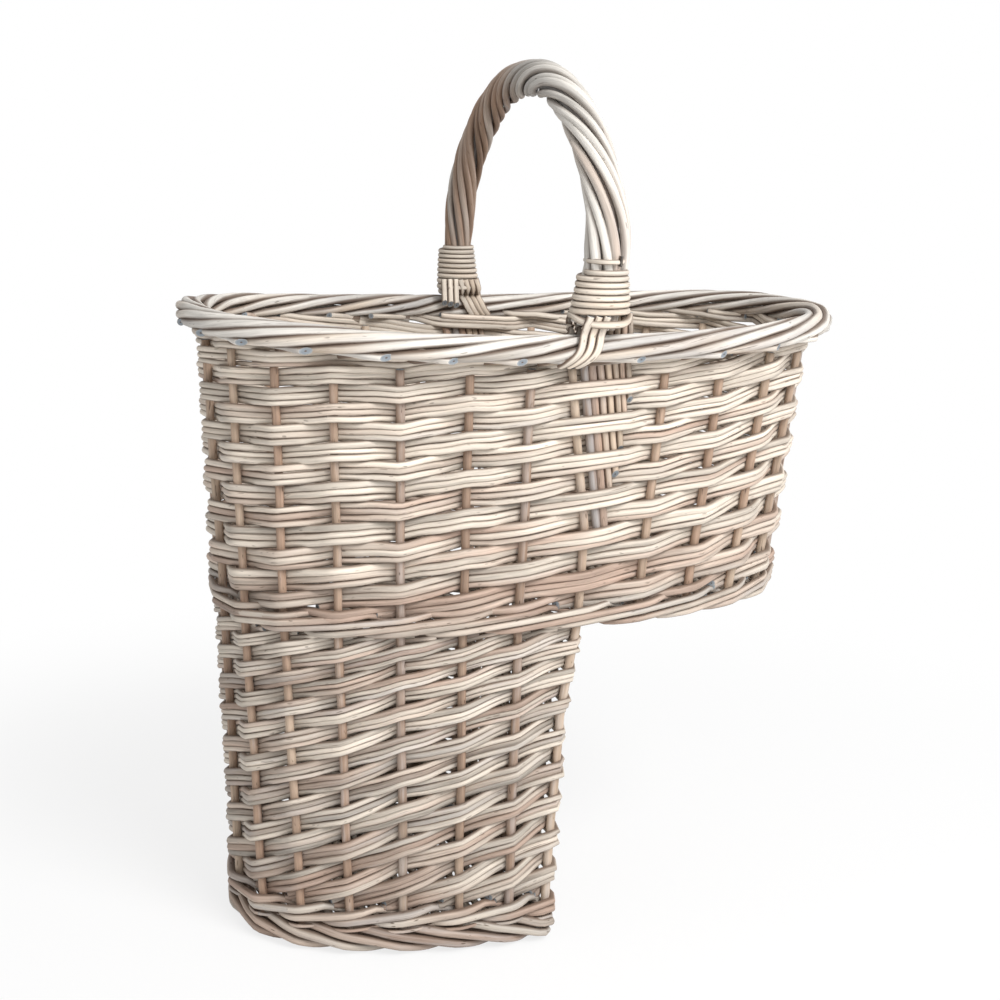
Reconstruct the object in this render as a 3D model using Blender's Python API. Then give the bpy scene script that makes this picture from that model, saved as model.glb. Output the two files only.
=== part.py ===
"""A willow stair basket: a long oval compartment that overhangs the upper step, over a D-shaped one below it.

Metres, +Z up. The origin is on the lower step, under the middle of the rim. +X points up the stairs, where
the basket overhangs, and -Y is its front.
"""

import math

import bmesh
import bpy
from mathutils import Vector

# Plan of the walls' outer face at three heights. Lengths run from the middle of the rim.
BASE_LEFT = 0.1800
BASE_HALF_WIDTH = 0.0975
LEDGE_LEFT = 0.1896
LEDGE_RIGHT = 0.1870
LEDGE_HALF_WIDTH = 0.1068
RIM_LEFT = 0.2002
RIM_RIGHT = 0.2020
RIM_HALF_WIDTH = 0.1196
BASE_EXPONENT = 2.4
LEDGE_LEFT_EXPONENT = 2.8
LEDGE_RIGHT_EXPONENT = 2.2
RIM_EXPONENT = 2.44
RISER_BASE_X = 0.0072
RISER_KNEE_X = 0.0114
RISER_KNEE_SHARE = 0.73
RISER_LEDGE_X = 0.0195
RISER_CORNER_RADIUS = 0.0085
RISER_INNER_CORNER_RADIUS = 0.0020

# Heights.
LEDGE_HEIGHT = 0.2055
LEDGE_WALE_HEIGHT = 0.0150
FOOT_HEIGHT = 0.0160
BASE_WALE_HEIGHT = 0.0140
RIM_HEIGHT = 0.3655
RIM_END_RISE = 0.0067

# Walls and floors.
WALL_THICKNESS = 0.0145
WALE_SWELL = 0.0012
FOOT_THICKNESS = 0.0150
FOOT_OVERHANG = 0.0030
FOOT_ROUNDING = 0.0050
BASE_PANEL_THICKNESS = 0.0090
BASE_PANEL_HEIGHT = 0.0030
BASE_STICK_DIAMETER = 0.0052
BASE_STICK_SPACING = 0.0400
BASE_STICK_END_MARGIN = 0.0200
LEDGE_FLOOR_THICKNESS = 0.0090
GAP = 0.0003

# Stakes.
STAKE_DIAMETER = 0.0060
CHANNEL_CLEARANCE = 0.0004
CHANNEL_OVERRUN = 0.0040
RISER_STAKES = 4
LEFT_STAKE_SHARES = (0.0, 0.17, 0.303, 0.442, 0.592, 0.748, 0.892)
RIGHT_STAKE_SHARES = (0.228, 0.39, 0.555, 0.712, 0.86, 1.0)

# Weave of the sidings: groups of rods that climb as they go round, before one stake and behind the next.
# Levels count groups up a siding, and a first level is where the one that starts it stands at the left end.
UPPER_GROUPS = 10
UPPER_LEVELS = 12.6
UPPER_FIRST_LEVEL = 1.416
UPPER_SLOWING_SHARE = 0.15
LOWER_LEVELS = 16.4
LOWER_FIRST_LEVEL = 1.2
LOWER_SLOWING_SHARE = 0.2
EDGE_LEVEL = 0.3
STAKE_HOLLOW = 0.0030
SPAN_HOLLOW = 0.0043

# Rolled top border.
BORDER_HALF_LENGTH = 0.1984
BORDER_HALF_WIDTH = 0.1190
BORDER_EXPONENT = 2.44
BORDER_ROLL_HALF_WIDTH = 0.0120
BORDER_ROLL_HALF_HEIGHT = 0.0090
BORDER_SIDES = 10

# Handle. Its rises run up from the top of the border at its middle, and the bow's foot from the ledge wale.
HANDLE_FRONT_X = 0.0068
HANDLE_BACK_X = 0.0030
BOW_FRONT_RADIUS = 0.0069
BOW_BACK_RADIUS = 0.0052
BOW_LEG_RADIUS = 0.0048
BOW_LEG_FOOT_RISE = 0.0415
BOW_RESOLUTION = 2
LEG_STEPS = 8
FOOT_STEPS = 6
ARCH_STEPS = 40
HANDLE_HALF_SPAN = 0.1190
HANDLE_SPRING_RISE = 0.0309
HANDLE_ARCH_RISE = 0.1144
HANDLE_EXPONENT = 2.15
HANDLE_SWAY = 0.0085
HANDLE_SWAY_SHARES = (0.0, 1.0, 0.6, 0.1, 0.0)
ROPED_ROD_RISE = 0.0067
ROPED_RODS = 10
FRONT_ROPED_ROD = 0.0050
BACK_ROPED_ROD = 0.0041
ROPED_ROD_CLEARANCE = 0.0008
STRAND_TURNS = 2.48
STRAND_TURN_SHARES = (0.0, 0.06, 0.16, 0.285, 0.44, 0.615, 0.785, 0.925, 1.0)
STRAND_POINTS = 35

# Whipped bindings at the handle's two feet.
BINDING_RISE = 0.0107
BINDING_LOOPS = 7
BINDING_POINTS_PER_LOOP = 16
FRONT_BINDING_ROD = 0.0038
BACK_BINDING_ROD = 0.0034
BINDING_PITCH_CLEARANCE = 0.0005

# Liner rods beside each leg, and the lashings that cross the border.
LINER_RODS = 3
LINER_ROD_DIAMETER = 0.0048
LINER_DEPTH = 0.0805
LINER_RISE = 0.0145
LEG_CLEARANCE = 0.0018
LEG_LEAN_START_SHARE = 0.4
LASHING_RODS = 3
LASHING_ROD_DIAMETER = 0.0048
LASHING_TRAVEL = 0.0150
LASHING_RISE = 0.0047
LOBE_OVERLAP_SHARE = 0.9

# Fineness of the round stretches.
QUARTER_STEPS = 13
CORNER_STEPS = 3
DENSE_STEPS = 240
SMOOTH_DEGREES = 40

WILLOW_PALE = (0.62, 0.52, 0.40)
WILLOW_TAN = (0.50, 0.37, 0.25)
WILLOW_GREY = (0.50, 0.45, 0.39)
WILLOW_PINK = (0.55, 0.41, 0.31)


def clear_scene():
    for item in list(bpy.data.objects):
        bpy.data.objects.remove(item, do_unlink=True)


def willow(name, colour, roughness=0.62):
    """A matt, unpeeled or weathered willow finish."""
    material = bpy.data.materials.new(name)
    material.use_nodes = True
    shader = material.node_tree.nodes["Principled BSDF"]
    shader.inputs["Base Color"].default_value = (*colour, 1.0)
    shader.inputs["Roughness"].default_value = roughness
    shader.inputs["Metallic"].default_value = 0.0
    return material


def blend(first, second, share):
    return first + (second - first) * share


def wall_plan(height):
    """Left, right and side reach of the walls' outer face at a height, and the exponents of its two ends."""
    if height < LEDGE_HEIGHT:
        share = height / LEDGE_HEIGHT
        return (
            blend(BASE_LEFT, LEDGE_LEFT, share),
            LEDGE_RIGHT,
            blend(BASE_HALF_WIDTH, LEDGE_HALF_WIDTH, share),
            blend(BASE_EXPONENT, LEDGE_LEFT_EXPONENT, share),
            LEDGE_RIGHT_EXPONENT,
        )
    share = (height - LEDGE_HEIGHT) / (RIM_HEIGHT - LEDGE_HEIGHT)
    return (
        blend(LEDGE_LEFT, RIM_LEFT, share),
        blend(LEDGE_RIGHT, RIM_RIGHT, share),
        blend(LEDGE_HALF_WIDTH, RIM_HALF_WIDTH, share),
        blend(LEDGE_LEFT_EXPONENT, RIM_EXPONENT, share),
        blend(LEDGE_RIGHT_EXPONENT, RIM_EXPONENT, share),
    )


def border_plan():
    return BORDER_HALF_LENGTH, BORDER_HALF_LENGTH, BORDER_HALF_WIDTH, BORDER_EXPONENT, BORDER_EXPONENT


def quarter_curve(reach, half_width, exponent, inset):
    """Points of a quarter of a superellipse, from its end to its side, moved in along the normal."""
    points = []
    for step in range(DENSE_STEPS + 1):
        turn = math.pi / 2 * step / DENSE_STEPS
        x = reach * math.cos(turn) ** (2 / exponent) if step < DENSE_STEPS else 0.0
        y = half_width * math.sin(turn) ** (2 / exponent)
        normal = Vector((
            (x / reach) ** (exponent - 1) / reach,
            (y / half_width) ** (exponent - 1) / half_width,
        )).normalized()
        points.append(Vector((x, y)) - normal * inset)
    return points


def along(points, share):
    """The point that lies a share of the way along a line of points."""
    lengths = [0.0]
    for first, second in zip(points, points[1:]):
        lengths.append(lengths[-1] + (second - first).length)
    wanted = lengths[-1] * share
    for index in range(1, len(points)):
        if lengths[index] >= wanted or index == len(points) - 1:
            step = lengths[index] - lengths[index - 1]
            within = (wanted - lengths[index - 1]) / step if step else 0.0
            return points[index - 1].lerp(points[index], min(max(within, 0.0), 1.0))
    return points[-1]


def plan_point(plan, quarter, share, inset):
    """A point of the plan. Quarters run from the left end to the front, the right end, the back and round."""
    left, right, half_width, left_exponent, right_exponent = plan
    on_left = quarter in (0, 3)
    reach, exponent = (left, left_exponent) if on_left else (right, right_exponent)
    from_end = share if quarter in (0, 2) else 1 - share
    point = along(quarter_curve(reach, half_width, exponent, inset), from_end)
    return Vector((
        -point.x if on_left else point.x,
        -point.y if quarter in (0, 1) else point.y,
    ))


def whole_outline(plan, inset):
    return [
        plan_point(plan, quarter, step / QUARTER_STEPS, inset)
        for quarter in range(4)
        for step in range(QUARTER_STEPS)
    ]


def riser_knee():
    """The height above which the riser leans out more."""
    return LEDGE_HEIGHT * RISER_KNEE_SHARE


def riser_x(height):
    knee = riser_knee()
    if height < knee:
        return blend(RISER_BASE_X, RISER_KNEE_X, height / knee)
    return blend(RISER_KNEE_X, RISER_LEDGE_X, (height - knee) / (LEDGE_HEIGHT - knee))


def corner_points(centre, radius, start_degrees):
    return [
        centre + radius * Vector((
            math.cos(math.radians(start_degrees + 90 * step / CORNER_STEPS)),
            math.sin(math.radians(start_degrees + 90 * step / CORNER_STEPS)),
        ))
        for step in range(CORNER_STEPS + 1)
    ]


def d_outline(height, inset):
    """The D-shaped plan of the lower compartment: the left half of the wall, closed by the flat riser."""
    plan = wall_plan(height)
    radius = max(RISER_CORNER_RADIUS - inset, RISER_INNER_CORNER_RADIUS)
    corner = Vector((riser_x(height) - inset - radius, plan[2] - inset - radius))
    length = line_length(quarter_curve(plan[0], plan[2], plan[3], inset))
    straight = 1 - (abs(corner.x) + STAKE_DIAMETER) / length
    front = [plan_point(plan, 0, straight * step / QUARTER_STEPS, inset) for step in range(QUARTER_STEPS + 1)]
    back = [Vector((point.x, -point.y)) for point in reversed(front[1:])]
    riser_middle = [Vector((riser_x(height) - inset, 0.0))]
    return (
        front
        + corner_points(Vector((corner.x, -corner.y)), radius, -90)
        + riser_middle
        + corner_points(corner, radius, 0)
        + back
    )


def border_top():
    return RIM_HEIGHT + GAP + 2 * BORDER_ROLL_HALF_HEIGHT


def spring_height():
    """Where the handle's legs end and its arch springs."""
    return border_top() + HANDLE_SPRING_RISE


def apex_height():
    return spring_height() + HANDLE_ARCH_RISE


def end_rise(x):
    """How much higher the rim runs at x than at its middle."""
    return RIM_END_RISE * (x / BORDER_HALF_LENGTH) ** 2


def make_object(name, mesh, material):
    item = bpy.data.objects.new(name, mesh)
    bpy.context.collection.objects.link(item)
    mesh.materials.append(material)
    return item


def closed_shell(name, shell, material):
    """An object from a finished shell, smooth but for its sharp edges."""
    bmesh.ops.recalc_face_normals(shell, faces=shell.faces)
    mesh = bpy.data.meshes.new(name)
    shell.to_mesh(mesh)
    shell.free()
    mesh.shade_smooth()
    mesh.set_sharp_from_angle(angle=math.radians(SMOOTH_DEGREES))
    return make_object(name, mesh, material)


def ring_solid(name, loops, material):
    """A closed ring through loops of points that go round its section."""
    shell = bmesh.new()
    rows = [[shell.verts.new(point) for point in loop] for loop in loops]
    count = len(loops[0])
    for row, following in zip(rows, rows[1:] + rows[:1]):
        for index in range(count):
            after = (index + 1) % count
            shell.faces.new((row[index], row[after], following[after], following[index]))
    return closed_shell(name, shell, material)


def plate_solid(name, outline, bottom, top, material):
    """A flat plate over an outline."""
    slab = bmesh.new()
    face = slab.faces.new([slab.verts.new((point.x, point.y, bottom)) for point in outline])
    grown = bmesh.ops.extrude_face_region(slab, geom=[face])
    raised = [item for item in grown["geom"] if isinstance(item, bmesh.types.BMVert)]
    bmesh.ops.translate(slab, verts=raised, vec=(0, 0, top - bottom))
    bmesh.ops.recalc_face_normals(slab, faces=slab.faces)
    mesh = bpy.data.meshes.new(name)
    slab.to_mesh(mesh)
    slab.free()
    return make_object(name, mesh, material)


def rod_curve(name, lines, radius, resolution=1, radii=None):
    """Round rods along lines of points, with closed ends."""
    curve = bpy.data.curves.new(name, "CURVE")
    curve.dimensions = "3D"
    curve.bevel_depth = radius
    curve.bevel_resolution = resolution
    curve.render_resolution_u = 0
    curve.use_fill_caps = True
    for line in lines:
        spline = curve.splines.new("POLY")
        spline.points.add(len(line) - 1)
        for index, point in enumerate(line):
            spline.points[index].co = (*point, 1.0)
            spline.points[index].radius = radii[index] if radii else 1.0
        spline.use_smooth = True
    return curve


def rod(name, points, radius, material, resolution=1, radii=None):
    curve = rod_curve(name, [points], radius, resolution, radii)
    curve.materials.append(material)
    item = bpy.data.objects.new(name, curve)
    bpy.context.collection.objects.link(item)
    return item


def as_cutter(item):
    item.hide_render = True
    item.display_type = "WIRE"
    return item


def rod_cutter(name, lines, radius, resolution=1):
    """Rods that cut channels, as a mesh that a Boolean can use."""
    curve = rod_curve(name + "_curve", lines, radius, resolution)
    guide = bpy.data.objects.new(name + "_guide", curve)
    bpy.context.collection.objects.link(guide)
    mesh = bpy.data.meshes.new_from_object(guide)
    bpy.data.objects.remove(guide, do_unlink=True)
    item = bpy.data.objects.new(name, mesh)
    bpy.context.collection.objects.link(item)
    return as_cutter(item)


def cut(item, cutter):
    boolean = item.modifiers.new(cutter.name, "BOOLEAN")
    boolean.operation = "DIFFERENCE"
    boolean.solver = "EXACT"
    boolean.object = cutter


def raised(point, height, with_rise=False):
    rise = end_rise(point.x) if with_rise else 0.0
    return Vector((point.x, point.y, height + rise))


def wall_band(name, bottom, top, material, swell=0.0, d_shaped=False, to_rim=False):
    """A band of wall between two heights, with its outer face swelled between them where it is a wale."""
    middle = (bottom + top) / 2
    rows = [(bottom, 0.0), (middle, -swell), (top, 0.0)] if swell else [(bottom, 0.0), (top, 0.0)]
    rows += [(top, WALL_THICKNESS), (bottom, WALL_THICKNESS)]
    loops = []
    for height, inset in rows:
        outline = d_outline(height, inset) if d_shaped else whole_outline(wall_plan(height), inset)
        follows_rim = to_rim and height == top
        loops.append([raised(point, height, follows_rim) for point in outline])
    return ring_solid(name, loops, material)


def side_place(quarter, share):
    """A place on the wall's plan, as a function of the height and the inset."""
    return lambda height, inset: plan_point(wall_plan(height), quarter, share, inset)


def corner_place(side, step):
    """A place round a corner of the riser, counter-clockwise."""
    def place(height, inset):
        radius = max(RISER_CORNER_RADIUS - inset, RISER_INNER_CORNER_RADIUS)
        half_width = wall_plan(height)[2]
        centre = Vector((riser_x(height) - inset - radius, side * (half_width - inset - radius)))
        return corner_points(centre, radius, -90 if side < 0 else 0)[step]
    return place


def riser_place(stakes_along):
    """A place on the flat riser, as far along it as a count of its stakes."""
    def place(height, inset):
        half_width = wall_plan(height)[2] - WALL_THICKNESS
        y = blend(-half_width, half_width, stakes_along / (RISER_STAKES + 1))
        return Vector((riser_x(height) - inset, y))
    return place


def upper_columns():
    """Columns up the upper siding: its place in stakes, how much it draws in, and where it stands."""
    left, right = LEFT_STAKE_SHARES, RIGHT_STAKE_SHARES
    rounds = list(left) + [1.0] + [1 + share for share in right]
    rounds += [3 - share for share in reversed(right[:-1])] + [3.0]
    rounds += [4 - share for share in reversed(left[1:])]
    front, back = rounds.index(1.0), rounds.index(3.0)
    over_liners = (front, front + 0.5, back - 0.5, back)
    columns = []
    for number, (first, second) in enumerate(zip(rounds, rounds[1:] + [4.0])):
        for stakes_along, turned in ((number, first), (number + 0.5, (first + second) / 2)):
            draw = 0.0 if stakes_along in over_liners else 1.0
            columns.append((stakes_along, draw, side_place(int(turned), turned - int(turned))))
    return columns, len(rounds)


def lower_columns():
    """Columns up the lower siding, whose corners stay plain."""
    corner = len(LEFT_STAKE_SHARES)
    far_corner = corner + RISER_STAKES + 1
    stakes = far_corner + corner
    shares = [*LEFT_STAKE_SHARES, 1.0]
    front = []
    for number, (first, second) in enumerate(zip(shares, shares[1:])):
        front += [(number, first), (number + 0.5, (first + second) / 2)]
    columns = [(stakes_along, 1.0, side_place(0, share)) for stakes_along, share in front]
    for side, middle in ((-1, corner), (1, far_corner)):
        for step in range(CORNER_STEPS + 1):
            stakes_along = middle + (step / CORNER_STEPS - 0.5) / 2
            columns.append((stakes_along, 0.0, corner_place(side, step)))
        if side < 0:
            halves = range(1, 2 * (RISER_STAKES + 1))
            columns += [(corner + half / 2, 1.0, riser_place(half / 2)) for half in halves]
    for stakes_along, share in reversed(front[1:]):
        columns.append((stakes - stakes_along, 1.0, side_place(3, 1 - share)))
    return columns, stakes


def strip_faces(shell, left, right):
    """Faces between two columns of points. Each point has a key, and some keys are in one column only."""
    keys = sorted(set(left) | set(right))
    for low, high in zip(keys, keys[1:]):
        corners = [
            column[max(key for key in column if key <= wanted)]
            for column, wanted in ((left, low), (right, low), (right, high), (left, high))
        ]
        distinct = list(dict.fromkeys(corners))
        if len(distinct) > 2:
            shell.faces.new(distinct)


def woven_wall(name, columns, stakes, weave, bottom, top, material, knees=(), to_rim=False):
    """A band of wall whose outer face bulges over the stakes where a group of rods passes before them."""
    groups, levels, first_level, slowing = weave
    shell = bmesh.new()

    def vertex(place, share, inset):
        height = blend(bottom, top, share)
        point = place(height, inset)
        rise = end_rise(point.x) * share if to_rim else 0.0
        return shell.verts.new((point.x, point.y, height + rise))

    outer, inner = [], []
    for stakes_along, draw, place in columns:
        level_of_zero = stakes_along * groups / stakes + first_level
        column = {-math.inf: vertex(place, 0.0, 0.0)}
        first = math.ceil(EDGE_LEVEL - level_of_zero)
        last = math.floor(levels - EDGE_LEVEL - level_of_zero)
        for key in range(first, last + 1):
            reach = (level_of_zero + key) / levels
            at_stake = stakes_along == int(stakes_along)
            before = at_stake and (stakes_along + key) % 2 == 0
            hollow = 0.0 if before else STAKE_HOLLOW if at_stake else SPAN_HOLLOW
            column[key] = vertex(place, (1 + slowing) * reach - slowing * reach ** 2, draw * hollow)
        column[math.inf] = vertex(place, 1.0, 0.0)
        outer.append(column)
        inner.append([vertex(place, share, WALL_THICKNESS) for share in (0.0, *knees, 1.0)])

    for index, column in enumerate(outer):
        after = (index + 1) % len(outer)
        following = outer[after]
        if after == 0:
            following = {key - groups: vert for key, vert in following.items()}
        strip_faces(shell, column, following)
        here, there = inner[index], inner[after]
        for low, high, next_low, next_high in zip(here, here[1:], there, there[1:]):
            shell.faces.new((low, next_low, next_high, high))
        shell.faces.new((column[math.inf], following[math.inf], there[-1], here[-1]))
        shell.faces.new((column[-math.inf], following[-math.inf], there[0], here[0]))
    return closed_shell(name, shell, material)


def stake_place(height, quarter, share):
    """The middle of a stake in the thickness of the wall."""
    return raised(plan_point(wall_plan(height), quarter, share, WALL_THICKNESS / 2), height)


def corner_stake_place(height, side):
    """The stake in the corner of the riser, which goes on up beside the handle's leg."""
    half_width = wall_plan(height)[2]
    x = riser_x(min(height, LEDGE_HEIGHT)) - WALL_THICKNESS / 2
    if height > lean_start():
        x = stake_top_x(side) + leg_lean(side) * (RIM_HEIGHT - height)
    return Vector((x, side * (half_width - WALL_THICKNESS / 2 - RISER_INNER_CORNER_RADIUS / 2), height))


def riser_stake_place(height, number):
    half_width = wall_plan(height)[2] - WALL_THICKNESS
    share = number / (RISER_STAKES + 1)
    return Vector((riser_x(height) - WALL_THICKNESS / 2, blend(-half_width, half_width, share), height))


def stake_lines():
    """The line of each stake by its name: low ends first, with a point at the ledge on the tall ones."""
    foot = FOOT_HEIGHT + GAP
    lines = {}

    def top_of(place):
        low = place(RIM_HEIGHT)
        return place(RIM_HEIGHT) + Vector((0, 0, end_rise(low.x)))

    for number, share in enumerate(LEFT_STAKE_SHARES):
        places = {"front": (0, share)}
        if number:
            places["back"] = (3, 1 - share)
        for side, (quarter, part) in places.items():
            name = f"stake_left_{side}_{number}" if number else "stake_left_end"
            place = lambda height, q=quarter, p=part: stake_place(height, q, p)
            lines[name] = [place(foot), place(LEDGE_HEIGHT), top_of(place)]
    for side, sign in (("front", -1), ("back", 1)):
        place = lambda height, s=sign: corner_stake_place(height, s)
        bends = [place(riser_knee()), place(LEDGE_HEIGHT), place(lean_start())]
        lines[f"stake_corner_{side}"] = [place(foot), *bends, top_of(place)]
    ledge = LEDGE_HEIGHT + GAP
    for number, share in enumerate(RIGHT_STAKE_SHARES, 1):
        at_end = number == len(RIGHT_STAKE_SHARES)
        places = {"front": (1, share)}
        if not at_end:
            places["back"] = (2, 1 - share)
        for side, (quarter, part) in places.items():
            name = "stake_right_end" if at_end else f"stake_right_{side}_{number}"
            place = lambda height, q=quarter, p=part: stake_place(height, q, p)
            lines[name] = [place(ledge), top_of(place)]
    for number in range(1, RISER_STAKES + 1):
        place = lambda height, n=number: riser_stake_place(height, n)
        lines[f"stake_riser_{number}"] = [place(foot), place(riser_knee()), place(LEDGE_HEIGHT - 2 * GAP)]
    return lines


def lengthened(line, overrun):
    """The same line with both ends run on."""
    first = line[0] + (line[0] - line[1]).normalized() * overrun
    last = line[-1] + (line[-1] - line[-2]).normalized() * overrun
    return [first] + line[1:-1] + [last]


def foot_x(side):
    return HANDLE_FRONT_X if side < 0 else HANDLE_BACK_X


def stake_top_x(side):
    """Where the stake from the riser's corner ends at the rim, close beside the handle's leg."""
    return foot_x(side) - BOW_LEG_RADIUS - LEG_CLEARANCE - STAKE_DIAMETER / 2


def lean_start():
    """The stake from the riser's corner goes straight up to here, then leans with the handle's leg."""
    return blend(LEDGE_HEIGHT, RIM_HEIGHT, LEG_LEAN_START_SHARE)


def leg_lean(side):
    """How far the handle's leg and that stake lean for each metre up."""
    riser_middle = riser_x(LEDGE_HEIGHT) - WALL_THICKNESS / 2
    return (riser_middle - stake_top_x(side)) / (RIM_HEIGHT - lean_start())


def leg_x(side, height):
    return foot_x(side) + leg_lean(side) * max(RIM_HEIGHT - height, 0.0)


def leg_y(height):
    """How far the handle's leg stands from the middle of the basket, inside the wall and above it."""
    in_wall = wall_plan(min(height, RIM_HEIGHT))[2] - WALL_THICKNESS / 2
    if height <= RIM_HEIGHT:
        return in_wall
    share = min((height - RIM_HEIGHT) / (spring_height() - RIM_HEIGHT), 1.0)
    smooth = share * share * (3 - 2 * share)
    return blend(in_wall, HANDLE_HALF_SPAN, smooth)


def hoop_x(y, height):
    """The hand-bent hoop sways a little out of its plane above the rim."""
    if height <= RIM_HEIGHT:
        return leg_x(y, height)
    rise = min((height - RIM_HEIGHT) / (apex_height() - RIM_HEIGHT), 1.0)
    across = math.copysign(1 - rise, y) if y else 0.0
    place = (across + 1) / 2 * (len(HANDLE_SWAY_SHARES) - 1)
    index = min(int(place), len(HANDLE_SWAY_SHARES) - 2)
    within = place - index
    smooth = within * within * (3 - 2 * within)
    middle = blend(HANDLE_FRONT_X, HANDLE_BACK_X, (across + 1) / 2)
    return middle + HANDLE_SWAY * blend(HANDLE_SWAY_SHARES[index], HANDLE_SWAY_SHARES[index + 1], smooth)


def hoop_points(start_height, steps_up, steps_over=ARCH_STEPS):
    """The handle's centre line from one foot over to the other, in its own plane."""
    leg = []
    for step in range(steps_up):
        height = blend(start_height, spring_height(), step / steps_up)
        leg.append((-leg_y(height), height))
    arch = []
    rise = apex_height() - spring_height()
    for step in range(steps_over // 2 + 1):
        turn = math.pi / 2 * step / (steps_over // 2)
        y = -HANDLE_HALF_SPAN * math.cos(turn) ** (2 / HANDLE_EXPONENT) if step < steps_over // 2 else 0.0
        z = spring_height() + rise * math.sin(turn) ** (2 / HANDLE_EXPONENT)
        arch.append((y, z))
    near = leg + arch
    far = [(-y, z) for y, z in reversed(near[:-1])]
    return [Vector((hoop_x(y, z), y, z)) for y, z in near + far]


def tangent(points, share):
    """The direction of a line at a share of its length."""
    reach_share = 0.01
    ahead = along(points, min(share + reach_share, 1))
    return (ahead - along(points, max(share - reach_share, 0))).normalized()


def line_length(points):
    return sum((second - first).length for first, second in zip(points, points[1:]))


def bow_radius(share):
    """The bow over the arch, whose rods taper from the front foot to the back one."""
    return blend(BOW_FRONT_RADIUS, BOW_BACK_RADIUS, share)


def strand_radius(share):
    return blend(FRONT_ROPED_ROD, BACK_ROPED_ROD, share) / 2


def roped_radius(share):
    return bow_radius(share) + ROPED_ROD_CLEARANCE + strand_radius(share)


def strand_turn(share):
    """How far round the bow a strand is. It runs nearly straight at the feet and turns most past the top."""
    place = share * (len(STRAND_TURN_SHARES) - 1)
    index = min(int(place), len(STRAND_TURN_SHARES) - 2)
    return STRAND_TURNS * blend(STRAND_TURN_SHARES[index], STRAND_TURN_SHARES[index + 1], place - index)


def strand_points(number, hoop):
    """One of the rods roped round the bow. On the near side it climbs to the left."""
    points = []
    for step in range(STRAND_POINTS):
        share = step / (STRAND_POINTS - 1)
        radius = roped_radius(share)
        turn = 2 * math.pi * (number / ROPED_RODS - strand_turn(share))
        along_hoop = tangent(hoop, share)
        across = Vector((1, 0, 0))
        outward = along_hoop.cross(across)
        points.append(along(hoop, share) + radius * (math.cos(turn) * across + math.sin(turn) * outward))
    return points


def winding_points(side, rod_diameter):
    """A binding's rod: loops round the roped handle, whose two ends run on straight."""
    axis_height = border_top() + BINDING_RISE + rod_diameter / 2
    pitch = rod_diameter + BINDING_PITCH_CLEARANCE
    top = axis_height + pitch * BINDING_LOOPS
    low_y, high_y = side * leg_y(axis_height), side * leg_y(top)
    low = Vector((hoop_x(low_y, axis_height), low_y, axis_height))
    high = Vector((hoop_x(high_y, top), high_y, top))
    lean = (high - low).normalized()
    across = Vector((1, 0, 0))
    outward = lean.cross(across)
    share = 0 if side < 0 else 1
    radius = roped_radius(share) + strand_radius(share) + GAP + ROPED_ROD_CLEARANCE + rod_diameter / 2
    loops = BINDING_LOOPS * BINDING_POINTS_PER_LOOP
    points = []
    for step in range(loops + 1):
        turn = side * 2 * math.pi * step / BINDING_POINTS_PER_LOOP
        centre = low.lerp(high, step / loops)
        points.append(centre + radius * (math.cos(turn) * across + math.sin(turn) * outward))
    first = points[0] + (points[0] - points[1]).normalized() * rod_diameter
    last = points[-1] + (points[-1] - points[-2]).normalized() * rod_diameter
    return [first] + points + [last]


def least_gap(points, rod_diameter, apart):
    """The least clear distance between stretches of a tube that are not neighbours."""
    least = math.inf
    for index, point in enumerate(points):
        for other in points[index + apart:]:
            least = min(least, (other - point).length)
    return least - rod_diameter


def lobes(count, diameter):
    """Outline of rods laid side by side and touching, across and out, round its middle."""
    radius = diameter / 2
    spacing = diameter * LOBE_OVERLAP_SHARE
    centres = [(number - (count - 1) / 2) * spacing for number in range(count)]
    upper = [
        (centre + radius * math.cos(math.radians(angle)), radius * math.sin(math.radians(angle)))
        for centre in centres
        for angle in (140, 90, 40)
    ]
    lower = [(across, -out) for across, out in reversed(upper)]
    left = [(centres[0] - radius, 0.0)]
    right = [(centres[-1] + radius, 0.0)]
    return left + upper + right + lower


def strap_solid(name, stations, profile, material=None):
    """A strap along stations that each give a middle, a direction across and one outward."""
    strap = bmesh.new()
    rows = [
        [strap.verts.new(middle + across * a + outward * b) for a, b in profile]
        for middle, across, outward in stations
    ]
    count = len(profile)
    for row, following in zip(rows, rows[1:]):
        for index in range(count):
            after = (index + 1) % count
            strap.faces.new((row[index], row[after], following[after], following[index]))
    strap.faces.new(rows[0])
    strap.faces.new(rows[-1])
    bmesh.ops.recalc_face_normals(strap, faces=strap.faces)
    mesh = bpy.data.meshes.new(name)
    strap.to_mesh(mesh)
    strap.free()
    item = bpy.data.objects.new(name, mesh)
    bpy.context.collection.objects.link(item)
    if material:
        mesh.materials.append(material)
    return item


def liner_width():
    return LINER_ROD_DIAMETER * (1 + (LINER_RODS - 1) * LOBE_OVERLAP_SHARE)


def liner_stations(side, overrun=0.0):
    """Stations up the liner rods, run on at both ends by an overrun where they cut their slot."""
    beside = BOW_LEG_RADIUS + LEG_CLEARANCE + liner_width() / 2
    heights = (RIM_HEIGHT - LINER_DEPTH, RIM_HEIGHT, RIM_HEIGHT + LINER_RISE)
    places = [Vector((leg_x(side, height) + beside, side * leg_y(height), height)) for height in heights]
    if overrun:
        places = lengthened(places, overrun)
    return [(place, Vector((1, 0, 0)), Vector((0, side, 0))) for place in places]


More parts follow.
